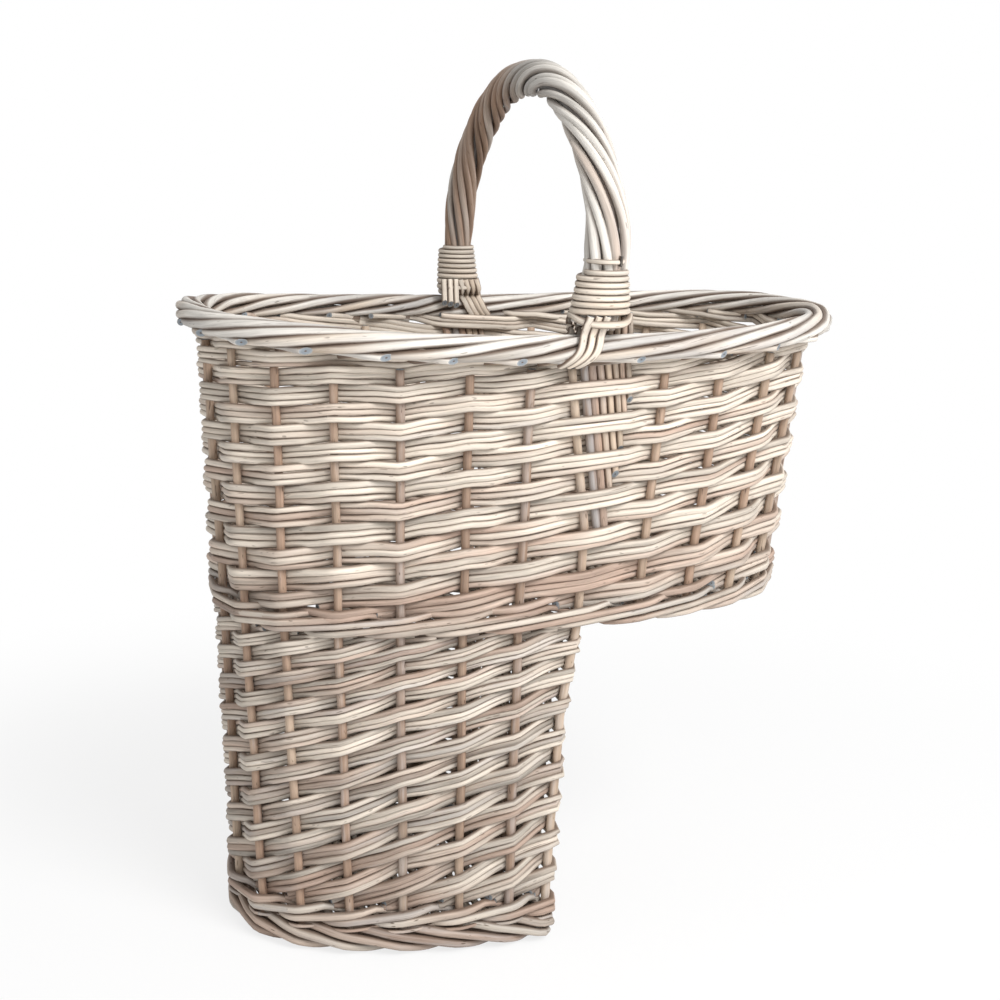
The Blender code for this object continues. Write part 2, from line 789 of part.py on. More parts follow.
def lashing_stations(side, inside):
    """A lashing that hugs the border from the handle's foot down to the border's lower edge."""
    facing = -side if inside else side
    slant = -1 if side < 0 else 1
    clear = LASHING_ROD_DIAMETER / 2 + 2 * GAP
    half_width = BORDER_ROLL_HALF_WIDTH + clear
    half_height = BORDER_ROLL_HALF_HEIGHT + clear
    border_height = RIM_HEIGHT + GAP + BORDER_ROLL_HALF_HEIGHT
    stations = []
    angles = (24, 16, 8, 0) if inside else (24, 10, -4, -18, -32)
    for number, angle in enumerate(angles):
        turn = math.radians(angle)
        share = (number + 1) / len(angles)
        x = foot_x(side) + slant * LASHING_TRAVEL * share
        y = side * BORDER_HALF_WIDTH + facing * half_width * math.cos(turn)
        z = border_height + half_height * math.sin(turn)
        outward = Vector((0, facing * math.cos(turn), math.sin(turn)))
        stations.append((Vector((x, y, z)), outward))
    top_height = border_top() + LASHING_RISE
    leg = leg_y(top_height)
    place = 0 if side < 0 else 1
    stand_off = roped_radius(place) + strand_radius(place) + clear
    top = Vector((foot_x(side), side * leg + facing * stand_off, top_height))
    stations.insert(0, (top, Vector((0, facing, 0))))
    found = []
    for index, (middle, outward) in enumerate(stations):
        before = stations[max(index - 1, 0)][0]
        after = stations[min(index + 1, len(stations) - 1)][0]
        onward = (after - before).normalized()
        across = outward.cross(onward).normalized()
        found.append((middle, across, across.cross(onward).normalized()))
    return found


def build_foot(material):
    """The plaited foot, with a flat underside to stand on."""
    high = FOOT_HEIGHT
    shoulder = FOOT_HEIGHT - FOOT_ROUNDING
    rows = [
        (0.0, 0.0, FOOT_ROUNDING / 2 - FOOT_OVERHANG),
        (shoulder, shoulder, -FOOT_OVERHANG),
        (high, high, FOOT_ROUNDING / 2 - FOOT_OVERHANG),
        (high, high, FOOT_THICKNESS),
        (0.0, 0.0, FOOT_THICKNESS),
    ]
    loops = []
    for height, at_height, inset in rows:
        loops.append([raised(point, height) for point in d_outline(at_height, inset)])
    return ring_solid("foot_border", loops, material)


def build_base(material, stick_material):
    """The woven floor of the lower compartment with the sticks that stiffen it."""
    bottom = BASE_PANEL_HEIGHT
    top = bottom + BASE_PANEL_THICKNESS
    outline = d_outline(0.0, FOOT_THICKNESS + GAP)
    panel = plate_solid("base_panel", outline, bottom, top, material)
    middle = (bottom + top) / 2
    left = min(point.x for point in outline) + BASE_STICK_END_MARGIN
    right = max(point.x for point in outline) - BASE_STICK_END_MARGIN
    lines = []
    for number in (-1, 0, 1):
        y = number * BASE_STICK_SPACING
        line = [Vector((left, y, middle)), Vector((right, y, middle))]
        lines.append(line)
        rod(f"base_stick_{number + 2}", line, BASE_STICK_DIAMETER / 2, stick_material)
    runs = [[line[0], line[1] + Vector((2 * BASE_STICK_END_MARGIN, 0, 0))] for line in lines]
    channels = [[run[0] - Vector((GAP, 0, 0)), run[1]] for run in runs]
    cut(panel, rod_cutter("base_stick_channels", channels, BASE_STICK_DIAMETER / 2 + CHANNEL_CLEARANCE))


def build_ledge_floor(material):
    """The floor of the overhang, which bears on the upper step."""
    plan = wall_plan(LEDGE_HEIGHT)
    inset = WALL_THICKNESS + GAP
    edge = riser_x(LEDGE_HEIGHT) - WALL_THICKNESS
    front = [plan_point(plan, 1, step / QUARTER_STEPS, inset) for step in range(QUARTER_STEPS)]
    front = [point for point in front if point.x > edge + STAKE_DIAMETER]
    back = [plan_point(plan, 2, step / QUARTER_STEPS, inset) for step in range(QUARTER_STEPS)]
    back = [point for point in back if point.x > edge + STAKE_DIAMETER]
    half_width = plan[2] - inset
    corner_clear = STAKE_DIAMETER / 2
    start = [Vector((edge, -half_width + corner_clear))]
    finish = [Vector((edge, half_width - corner_clear))]
    outline = start + front + back + finish
    plate_solid("ledge_floor", outline, LEDGE_HEIGHT, LEDGE_HEIGHT + LEDGE_FLOOR_THICKNESS, material)


def build_border(material):
    """The rolled border, an oval section that follows the rim."""
    centre = RIM_HEIGHT + GAP + BORDER_ROLL_HALF_HEIGHT
    loops = []
    for side in range(BORDER_SIDES):
        turn = 2 * math.pi * (side + 0.5) / BORDER_SIDES
        inset = BORDER_ROLL_HALF_WIDTH * math.cos(turn)
        height = centre + BORDER_ROLL_HALF_HEIGHT * math.sin(turn)
        outline = whole_outline(border_plan(), inset)
        loops.append([raised(point, height, True) for point in outline])
    return ring_solid("top_border", loops, material)


def main():
    clear_scene()
    pale = willow("willow_weavers", WILLOW_PALE)
    grey = willow("willow_grey", WILLOW_GREY)
    tan = willow("willow_stakes", WILLOW_TAN)
    pink = willow("willow_thick_rods", WILLOW_PINK)

    build_foot(pink)
    build_base(grey, tan)
    base_wale_top = FOOT_HEIGHT + GAP + BASE_WALE_HEIGHT
    base_wale = wall_band("base_wale", FOOT_HEIGHT + GAP, base_wale_top, pink, WALE_SWELL, d_shaped=True)
    lower_top = LEDGE_HEIGHT - GAP
    columns, stakes = lower_columns()
    weave = stakes, LOWER_LEVELS, LOWER_FIRST_LEVEL, LOWER_SLOWING_SHARE
    lower_bottom = base_wale_top + GAP
    knee = (riser_knee() - lower_bottom) / (lower_top - lower_bottom)
    lower = woven_wall("lower_siding", columns, stakes, weave, lower_bottom, lower_top, grey, knees=(knee,))
    wale_top = LEDGE_HEIGHT + LEDGE_WALE_HEIGHT
    ledge_wale = wall_band("ledge_wale", LEDGE_HEIGHT, wale_top, pink, WALE_SWELL)
    build_ledge_floor(grey)
    columns, stakes = upper_columns()
    weave = UPPER_GROUPS, UPPER_LEVELS, UPPER_FIRST_LEVEL, UPPER_SLOWING_SHARE
    upper = woven_wall("upper_siding", columns, stakes, weave, wale_top + GAP, RIM_HEIGHT, pale, to_rim=True)
    border = build_border(pale)

    lines = stake_lines()
    for name, line in lines.items():
        rod(name, line, STAKE_DIAMETER / 2, tan)
    channels = [lengthened(line, CHANNEL_OVERRUN) for line in lines.values()]
    channel_cutter = rod_cutter("stake_channels", channels, STAKE_DIAMETER / 2 + CHANNEL_CLEARANCE)
    for wall in (base_wale, lower, ledge_wale, upper):
        cut(wall, channel_cutter)

    whole_hoop = hoop_points(LEDGE_HEIGHT + LEDGE_WALE_HEIGHT + BOW_LEG_FOOT_RISE, LEG_STEPS)
    radii = []
    for number, point in enumerate(whole_hoop):
        share = number / (len(whole_hoop) - 1)
        in_leg = point.z < spring_height()
        radii.append(BOW_LEG_RADIUS / BOW_FRONT_RADIUS if in_leg else bow_radius(share) / BOW_FRONT_RADIUS)
    rod("handle_bow", whole_hoop, BOW_FRONT_RADIUS, tan, BOW_RESOLUTION, radii)
    hoop = hoop_points(border_top() + ROPED_ROD_RISE, FOOT_STEPS)
    taper = [strand_radius(step / (STRAND_POINTS - 1)) / strand_radius(0) for step in range(STRAND_POINTS)]
    for number in range(ROPED_RODS):
        rod(f"handle_rod_{number + 1}", strand_points(number, hoop), strand_radius(0), pale, radii=taper)

    leg_lines = []
    for side in (-1, 1):
        leg = [point for point in whole_hoop if point.y * side > 0 and point.z < spring_height()]
        leg_lines.append(lengthened(leg, CHANNEL_OVERRUN))
    leg_cutter = rod_cutter("bow_channels", leg_lines, BOW_LEG_RADIUS + CHANNEL_CLEARANCE, BOW_RESOLUTION)
    cut(upper, leg_cutter)
    cut(border, leg_cutter)

    profile = lobes(LINER_RODS, LINER_ROD_DIAMETER)
    wide = liner_width() / 2 + CHANNEL_CLEARANCE
    deep = LINER_ROD_DIAMETER / 2 + CHANNEL_CLEARANCE
    slot = [(-wide, -deep), (wide, -deep), (wide, deep), (-wide, deep)]
    for side, name in ((-1, "front"), (1, "back")):
        strap_solid(f"liner_{name}", liner_stations(side), profile, tan)
        run_on = liner_stations(side, 2 * CHANNEL_OVERRUN)
        slot_cutter = as_cutter(strap_solid(f"liner_slot_{name}", run_on, slot))
        cut(upper, slot_cutter)
        cut(border, slot_cutter)

    for side, name, thickness in ((-1, "front", FRONT_BINDING_ROD), (1, "back", BACK_BINDING_ROD)):
        points = winding_points(side, thickness)
        rod(f"binding_{name}", points, thickness / 2, pale)
        gap = least_gap(points, thickness, BINDING_POINTS_PER_LOOP // 2)
        print(f"binding_{name}: least gap between loops {gap * 1000:.2f} mm")
        strap = lobes(LASHING_RODS, LASHING_ROD_DIAMETER)
        strap_solid(f"lashing_{name}_outer", lashing_stations(side, False), strap, pale)
        strap_solid(f"lashing_{name}_inner", lashing_stations(side, True), strap, pale)


main()
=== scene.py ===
"""Looks of a weathered willow stair basket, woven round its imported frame."""

import math

import bpy
import numpy as np
from bpy.props import FloatProperty, FloatVectorProperty, IntProperty, PointerProperty
from mathutils import Matrix, Vector


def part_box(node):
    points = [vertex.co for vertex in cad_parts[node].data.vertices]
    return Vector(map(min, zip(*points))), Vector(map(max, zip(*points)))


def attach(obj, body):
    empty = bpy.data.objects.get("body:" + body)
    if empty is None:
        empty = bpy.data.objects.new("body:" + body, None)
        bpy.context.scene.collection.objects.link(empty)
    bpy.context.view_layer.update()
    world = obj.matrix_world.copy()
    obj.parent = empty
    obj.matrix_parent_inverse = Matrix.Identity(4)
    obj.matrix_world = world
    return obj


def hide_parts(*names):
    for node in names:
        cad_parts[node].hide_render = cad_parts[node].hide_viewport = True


bl_info = {
    "name": "Stair Basket",
    "version": (1, 0, 0),
    "blender": (4, 5, 0),
    "location": "3D View > Sidebar > Basket",
    "description": "Weaves a willow stair basket round its frame and sets its studio",
    "category": "Add Mesh",
}

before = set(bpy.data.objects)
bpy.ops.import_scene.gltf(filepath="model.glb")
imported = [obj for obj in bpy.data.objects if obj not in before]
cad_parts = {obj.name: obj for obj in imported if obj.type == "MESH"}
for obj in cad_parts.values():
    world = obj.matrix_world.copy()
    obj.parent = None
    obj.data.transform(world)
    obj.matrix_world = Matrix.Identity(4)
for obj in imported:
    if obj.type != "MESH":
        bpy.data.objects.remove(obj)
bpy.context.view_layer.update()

MM = 0.001
LEDGE_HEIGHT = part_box("ledge_floor")[0].z
RIM_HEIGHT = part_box("stake_corner_front")[1].z
STAKE_RADIUS = 2.75 * MM
STAKE_STEP = 6 * MM
RISER_KNEE_SHARE = 0.73
CORNER_KNEE_SHARE = 0.4
RISER_KNEE = RISER_KNEE_SHARE * LEDGE_HEIGHT
CORNER_KNEE = LEDGE_HEIGHT + CORNER_KNEE_SHARE * (RIM_HEIGHT - LEDGE_HEIGHT)
RINGS_PER_SPAN = 8
SPAN_STEP = 1 / RINGS_PER_SPAN
SIDES = 10
THICK_SIDES = 12
BORDER_SIDES = 14

LEFT_FRONT = [f"stake_left_front_{number}" for number in range(1, 7)]
LEFT_BACK = [f"stake_left_back_{number}" for number in range(6, 0, -1)]
RIGHT_FRONT = [f"stake_right_front_{number}" for number in range(1, 6)]
RIGHT_BACK = [f"stake_right_back_{number}" for number in range(5, 0, -1)]
RISER = [f"stake_riser_{number}" for number in range(1, 5)]
CORNERS = ["stake_corner_front", "stake_corner_back"]
UPPER_RING = (
    ["stake_left_end"] + LEFT_FRONT + CORNERS[:1] + RIGHT_FRONT
    + ["stake_right_end"] + RIGHT_BACK + CORNERS[1:] + LEFT_BACK
)
LOWER_RING = ["stake_left_end"] + LEFT_FRONT + CORNERS[:1] + RISER + CORNERS[1:] + LEFT_BACK
FRONT_CORNER, BACK_CORNER = (UPPER_RING.index(name) for name in CORNERS)
STICK_NUMBERS = 1, 2, 3


def length_property(name, description, value):
    return FloatProperty(name=name, description=description, default=value, unit="LENGTH")


def colour_property(name, description, value):
    return FloatVectorProperty(
        name=name, description=description, default=value, subtype="COLOR", size=3, min=0, max=1
    )


class WeaveSizes(bpy.types.PropertyGroup):
    upper_groups: IntProperty(
        name="Upper groups", description="Groups of weavers that climb the upper siding", default=10, min=2
    )
    upper_levels: FloatProperty(
        name="Upper levels", description="Groups stacked over the height of the upper siding", default=12.6
    )
    lower_groups: IntProperty(
        name="Lower groups", description="Groups of weavers that climb the lower siding", default=19, min=2
    )
    lower_levels: FloatProperty(
        name="Lower levels", description="Groups stacked over the height of the lower siding", default=16.4
    )
    group_rods: IntProperty(
        name="Rods in a group", description="Weavers laid side by side", default=3, min=1
    )
    fullness: FloatProperty(
        name="Fullness", description="Thickness of a weaver as a share of its room", default=1.08,
        subtype="FACTOR",
    )


class WaleSizes(bpy.types.PropertyGroup):
    ledge_rod: length_property("Ledge rod", "Diameter of the waling rods at the ledge", 4.2 * MM)
    base_rod: length_property("Base rod", "Diameter of the waling rods at the base", 5.0 * MM)
    pairing_rod: length_property("Pairing rod", "Diameter of the thin pair under the wale", 2.5 * MM)
    foot_rod: length_property("Foot rod", "Diameter of the foot border's rods", 5.8 * MM)
    floor_rod: length_property("Floor rod", "Diameter of the floors' weavers", 3.4 * MM)


class BorderSizes(bpy.types.PropertyGroup):
    rod: length_property("Rod", "Diameter of a rod of the roll", 5.5 * MM)
    tail: length_property("Tail", "Diameter of its cut tail", 4.4 * MM)
    half_width: length_property("Half width", "Half of the roll's width", 11.5 * MM)
    half_height: length_property("Half height", "Half of the roll's height", 8.1 * MM)


class HandleSizes(bpy.types.PropertyGroup):
    front_strand: length_property("Front strand", "Diameter of a roped rod at the front foot", 5.6 * MM)
    back_strand: length_property("Back strand", "Diameter of a roped rod at the back foot", 4.7 * MM)
    turns: FloatProperty(name="Turns", description="Turns that a strand makes round the bow", default=2.48)
    strip: length_property("Strip", "Width of a lashing strip", 4.9 * MM)


class WillowColours(bpy.types.PropertyGroup):
    white: colour_property("White", "Sun-bleached rods of the border and the handle", (0.88, 0.835, 0.77))
    cream: colour_property("Cream", "Bleached weavers", (0.84, 0.745, 0.635))
    straw: colour_property("Straw", "Warmer rods", (0.68, 0.54, 0.41))
    pink: colour_property("Pink", "Thick rods low in each band", (0.60, 0.44, 0.35))
    buff: colour_property("Buff", "Stakes", (0.50, 0.34, 0.245))
    grey: colour_property("Grey", "Weathered streaks", (0.46, 0.44, 0.43))
    bark: colour_property("Bark", "Knots and cracks", (0.10, 0.065, 0.045))
    # Painted shade: the dark colour that the finish mixes into the grooves between the rods.
    groove_shade: colour_property("Groove shade", "Shaded grooves between the rods", (0.13, 0.082, 0.055))
    end_grain: colour_property("End grain", "Cut ends", (0.25, 0.28, 0.31))


class StudioSettings(bpy.types.PropertyGroup):
    camera_place: FloatVectorProperty(
        name="Camera place", description="Where the camera stands", default=(-0.3705, -0.9932, 0.4931),
        subtype="TRANSLATION", unit="LENGTH", size=3,
    )
    camera_yaw: FloatProperty(
        name="Yaw", description="Turn from the +Y direction", default=math.radians(-20.027), subtype="ANGLE"
    )
    camera_pitch: FloatProperty(
        name="Pitch", description="Tilt down", default=math.radians(12.021), subtype="ANGLE"
    )
    camera_roll: FloatProperty(
        name="Roll", description="Roll about the view", default=math.radians(1.517), subtype="ANGLE"
    )
    lens: FloatProperty(name="Lens", description="Focal length in millimetres", default=60.37)
    shift: FloatVectorProperty(
        name="Shift", description="Offset of the picture's centre from the lens axis",
        default=(0.0078, -0.007), size=2,
    )
    key_power: FloatProperty(name="Key", description="Power of the lamp above", default=45.0, unit="POWER")
    fill_power: FloatProperty(
        name="Fill", description="Power of the lamp in front", default=5.0, unit="POWER"
    )
    world_light: FloatProperty(name="Room", description="Strength of the room's light", default=0.47)


def settings():
    return bpy.context.scene


class Value:
    """A socket of a finish, for shader sums written as plain Python."""

    def __init__(self, finish, socket):
        self.finish = finish
        self.socket = socket

    def sum(self, operation, *terms):
        return self.finish.node("ShaderNodeMath", {"operation": operation}, dict(enumerate(terms)))

    def __add__(self, other):
        return self.sum("ADD", self, other)

    def __radd__(self, other):
        return self.sum("ADD", other, self)

    def __sub__(self, other):
        return self.sum("SUBTRACT", self, other)

    def __rsub__(self, other):
        return self.sum("SUBTRACT", other, self)

    def __mul__(self, other):
        return self.sum("MULTIPLY", self, other)

    def __rmul__(self, other):
        return self.sum("MULTIPLY", other, self)

    def above(self, low, high):
        """0 up to a low level, 1 from a high one, and smooth between them."""
        return self.finish.node(
            "ShaderNodeMapRange", {"interpolation_type": "SMOOTHSTEP"}, {"Value": self, 1: low, 2: high}
        )


class Finish:
    """A material whose node tree is written as expressions."""

    def __init__(self, name):
        self.material = bpy.data.materials.new(name)
        self.material.use_nodes = True
        self.tree = self.material.node_tree
        self.shader = self.tree.nodes["Principled BSDF"]

    def put(self, socket, value):
        if isinstance(value, Value):
            self.tree.links.new(value.socket, socket)
        elif hasattr(value, "__len__") and socket.type == "RGBA" and len(value) == 3:
            socket.default_value = (*value, 1.0)
        else:
            socket.default_value = value

    def node(self, kind, options=None, inputs=None, output=0):
        made = self.tree.nodes.new(kind)
        for name, value in (options or {}).items():
            setattr(made, name, value)
        for key, value in (inputs or {}).items():
            self.put(made.inputs[key], value)
        return Value(self, made.outputs[output])

    def attribute(self, name, output="Fac"):
        return self.node("ShaderNodeAttribute", {"attribute_name": name}, output=output)

    def parts(self, vector):
        """The three numbers that a vector holds."""
        split = self.tree.nodes.new("ShaderNodeSeparateXYZ")
        self.put(split.inputs[0], vector)
        return [Value(self, socket) for socket in split.outputs]

    def stretched(self, vector, across, along):
        """Grain coordinates at a scale across the rod and one along it."""
        return self.node(
            "ShaderNodeVectorMath", {"operation": "MULTIPLY"}, {0: vector, 1: (across, across, along)}
        )

    def noise(self, vector, detail=2.0, roughness=0.5):
        inputs = {"Vector": vector, "Scale": 1.0, "Detail": detail, "Roughness": roughness}
        return self.node("ShaderNodeTexNoise", {}, inputs)

    def mix(self, share, first, second):
        return self.node(
            "ShaderNodeMix", {"data_type": "RGBA"}, {"Factor": share, 6: first, 7: second}, output=2
        )

    def scaled(self, colour, amount):
        return self.node("ShaderNodeVectorMath", {"operation": "SCALE"}, {0: colour, "Scale": amount})


# Scales of the marks in the wood: how many come in a metre, across a rod and along it.
FIBRES = 1500, 70
STREAKS = 420, 16
PATCHES = 150, 34
BROAD_PATCHES = 60, 9
SPECKS = 560, 130
OLD_WOOD = 0.55, 0.55, 0.53
SHEEN = 0.32
RELIEF_DEPTH = 0.6 * MM


def willow(name, pale, warm, weathered=0.35, knots=0.5, roughness=0.62, relief=0.4, groove_shade=0.8):
    """Willow rods: long fibres, patches of weather, dark knots, painted shade in the grooves between the rods,
    and grain where cut.

    The pale and the warm colour are named as in the settings.
    """
    colours = settings().basket_colours
    finish = Finish(name)
    grain = finish.attribute("grain", "Vector")
    tone, warmth, age = finish.parts(finish.attribute("tint", "Vector"))
    core = finish.attribute("core")
    groove = finish.attribute("groove")

    fibre = finish.noise(finish.stretched(grain, *FIBRES), 3.0, 0.6)
    streak = finish.noise(finish.stretched(grain, *STREAKS), 2.0, 0.55)
    patch = finish.noise(finish.stretched(grain, *PATCHES), 2.0)
    broad = finish.noise(finish.stretched(grain, *BROAD_PATCHES), 1.0)
    speck = finish.noise(finish.stretched(grain, *SPECKS), 1.0)

    warm_share = (warmth + (broad - 0.5) * 1.5).above(0.15, 0.95)
    colour = finish.mix(warm_share, tuple(getattr(colours, pale)), tuple(getattr(colours, warm)))
    grey_share = (age + (patch - 0.5) * 1.2 + (streak - 0.5) * 1.1).above(0.42, 1.0) * weathered
    colour = finish.mix(grey_share, colour, tuple(colours.grey))
    light = 0.86 + tone + (fibre - 0.5) * 0.44 + (streak - 0.5) * 0.76 + (patch - 0.5) * 0.42
    colour = finish.scaled(colour, light)
    crack = streak.above(0.63, 0.71) * fibre.above(0.48, 0.58) * 0.6
    colour = finish.mix(crack, colour, tuple(colours.bark))
    knot = speck.above(0.70, 0.77) * knots
    colour = finish.mix(knot, colour, tuple(colours.bark))
    # Painted shade: the sides where each rod lies against its neighbours are darkened towards the groove shade
    # colour, broken up a little by patches.
    groove_shade_share = (groove + (patch - 0.5) * 0.35).above(0.48, 0.98) * groove_shade
    colour = finish.mix(groove_shade_share, colour, tuple(colours.groove_shade))

    cut = 1 - core.above(0.93, 0.985)
    rings = finish.mix(core.above(0.08, 0.30), tuple(colours.bark), tuple(colours.end_grain))
    rings = finish.mix(core.above(0.55, 0.95) * 0.35, rings, OLD_WOOD)
    colour = finish.mix(cut, colour, finish.scaled(rings, 0.75 + speck * 0.5))

    finish.put(finish.shader.inputs["Base Color"], colour)
    finish.put(finish.shader.inputs["Roughness"], roughness + (fibre - 0.5) * 0.25 + knot * 0.2)
    finish.put(finish.shader.inputs["Specular IOR Level"], SHEEN)
    height = fibre * 0.35 + streak * 0.5 + patch * 0.5 - knot * 0.9
    bump = finish.node(
        "ShaderNodeBump", {}, {"Height": height, "Strength": relief, "Distance": RELIEF_DEPTH}
    )
    finish.put(finish.shader.inputs["Normal"], bump)
    return finish.material


def unit(vectors):
    return vectors / np.maximum(np.linalg.norm(vectors, axis=-1, keepdims=True), 1e-12)


def oval(angle, across, deep):
    """Level steps from the middle of an oval to its edge."""
    return np.column_stack([np.cos(angle) * across, np.sin(angle) * deep, np.zeros(len(angle))])


def smooth_step(share):
    share = np.clip(share, 0, 1)
    return share * share * (3 - 2 * share)


def reach_along(line):
    """The length of a line of points up to each of them."""
    return np.concatenate([[0], np.cumsum(np.linalg.norm(np.diff(line, axis=0), axis=1))])


def between(places, known, rows):
    """Rows of numbers at places between the places where they are known."""
    return np.column_stack([np.interp(places, known, part) for part in np.asarray(rows, float).T])


def even(line, spacing):
    """The same line with points at even steps."""
    reach = reach_along(line)
    wanted = np.linspace(0, reach[-1], max(int(reach[-1] / spacing), 2) + 1)
    return between(wanted, reach, line)


def smoothed(values, width=7):
    """Each value as the mean of those around it, with the ends held."""
    return np.convolve(np.pad(values, width // 2, mode="edge"), np.ones(width) / width, mode="valid")


# Lengths of the two swellings along a rod, and how far its grain is moved across it and along it.
SWELLINGS = (0.012, 0.028), (0.025, 0.07)
GRAIN_SHIFT = 0.05, 0.05, 3.0


class Rods:
    """Willow rods gathered into one mesh, with what their finish reads: grain, tint, core, and the groove
    where it paints shade.
    """

    def __init__(self, seed, sides=SIDES):
        self.random = np.random.default_rng(seed)
        self.sides = sides
        self.points, self.grain, self.tint, self.core, self.groove = [], [], [], [], []
        self.quads, self.fans = [], []
        self.total = 0

    def add(
        self, line, radius, tint, facing=(0, 0, 1), flat=1.0, slants=(0.0, 0.0), wobble=0.035, groove=1.0
    ):
        """A rod along a line of points, flattened by a factor in the direction it faces.

        A positive slant cuts its first end, and a negative one its last end, so that the cut faces that way.
        """
        line = np.asarray(line, float)
        count = len(line)
        reach = reach_along(line)
        ahead = unit(np.gradient(line, axis=0))
        facing = np.broadcast_to(np.asarray(facing, float), line.shape)
        outward = unit(facing - ahead * np.sum(facing * ahead, axis=1, keepdims=True))
        across = np.cross(ahead, outward)
        radius = np.broadcast_to(radius, count) * 1.0
        short, long = self.random.uniform(*SWELLINGS)
        phases = self.random.uniform(0, 2 * math.pi, 2)
        swelling = np.sin(reach / short * 2 + phases[0]) + 0.8 * np.sin(reach / long * 2 + phases[1])
        radius = radius * (1 + wobble * swelling)
        turns = np.arange(self.sides) * 2 * math.pi / self.sides
        cosines, sines = np.cos(turns)[None, :, None], np.sin(turns)[None, :, None]
        section = cosines * outward[:, None, :] * flat + sines * across[:, None, :]
        points = line[:, None, :] + radius[:, None, None] * section
        for end, slant in zip((0, -1), slants):
            lean = ahead[end] * (slant * radius[end]) * np.cos(turns)[:, None]
            points[end] += lean
        apart = self.random.uniform(-1, 1, 3) * GRAIN_SHIFT
        grain = np.empty(points.shape)
        grain[..., 0] = radius[:, None] * np.cos(turns) + apart[0]
        grain[..., 1] = radius[:, None] * np.sin(turns) + apart[1]
        grain[..., 2] = reach[:, None] + apart[2]
        tint = np.broadcast_to(np.asarray(tint, float), (count, 3))

        base = self.total
        index = base + np.arange(count * self.sides).reshape(count, self.sides)
        beside = np.roll(index, -1, axis=1)
        self.quads.append(
            np.stack([index[:-1], beside[:-1], beside[1:], index[1:]], axis=-1).reshape(-1, 4)
        )
        middles = base + count * self.sides + np.arange(2)
        first = np.stack([np.full(self.sides, middles[0]), beside[0], index[0]], axis=-1)
        last = np.stack([np.full(self.sides, middles[1]), index[-1], beside[-1]], axis=-1)
        self.fans += [first, last]
        self.points += [points.reshape(-1, 3), points[[0, -1]].mean(axis=1)]
        self.grain += [grain.reshape(-1, 3), grain[[0, -1]].mean(axis=1)]
        self.tint += [np.repeat(tint, self.sides, axis=0), tint[[0, -1]]]
        self.core += [np.ones(count * self.sides), np.zeros(2)]
        # The groove value is highest on the two sides across the way the rod faces, where it lies against its
        # neighbours; the finish paints shade there.
        self.groove += [np.tile(np.abs(np.sin(turns)) * groove, count), np.zeros(2)]
        self.total += count * self.sides + 2

    def mesh(self, name):
        mesh = bpy.data.meshes.new(name)
        points = np.concatenate(self.points)
        quads, fans = np.concatenate(self.quads), np.concatenate(self.fans)
        corners = np.concatenate([quads.ravel(), fans.ravel()])
        sizes = np.concatenate([np.full(len(quads), 4), np.full(len(fans), 3)])
        mesh.vertices.add(len(points))
        mesh.vertices.foreach_set("co", points.ravel())
        mesh.loops.add(len(corners))
        mesh.loops.foreach_set("vertex_index", corners)
        mesh.polygons.add(len(sizes))
        mesh.polygons.foreach_set("loop_start", np.cumsum(sizes) - sizes)
        mesh.polygons.foreach_set("use_smooth", sizes == 4)
        for label, kind, field in (
            ("grain", "FLOAT_VECTOR", "vector"),
            ("tint", "FLOAT_VECTOR", "vector"),
            ("core", "FLOAT", "value"),
            ("groove", "FLOAT", "value"),
        ):
            layer = mesh.attributes.new(label, kind, "POINT")
            layer.data.foreach_set(field, np.concatenate(getattr(self, label)).ravel())
        mesh.update(calc_edges=True)
        if mesh.validate():
            raise RuntimeError(f"{name}: the mesh had faulty faces")
        return mesh

    def piece(self, name, finish, nodes):
        mesh = self.mesh(name)
        mesh.materials.append(finish)
        made = bpy.data.objects.new(name, mesh)
        bpy.context.collection.objects.link(made)
        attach(made, "root")
        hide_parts(*nodes)


def stake_axis(node):
    """A stake's centre line: its two ends and its bends."""
    corners = np.array([vertex.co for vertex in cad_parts[node].data.vertices])
    heights = corners[:, 2]
    ring_depth = 1.2 * MM
    bends = [LEDGE_HEIGHT]
    if node in CORNERS + RISER:
        bends = [RISER_KNEE, LEDGE_HEIGHT, CORNER_KNEE]
    low, high = heights.min(), heights.max()
    bends = [bend for bend in bends if low + STAKE_RADIUS < bend < high - STAKE_RADIUS]
    levels = [low] + bends + [high]
    return np.array([corners[np.abs(heights - level) < ring_depth].mean(axis=0) for level in levels])


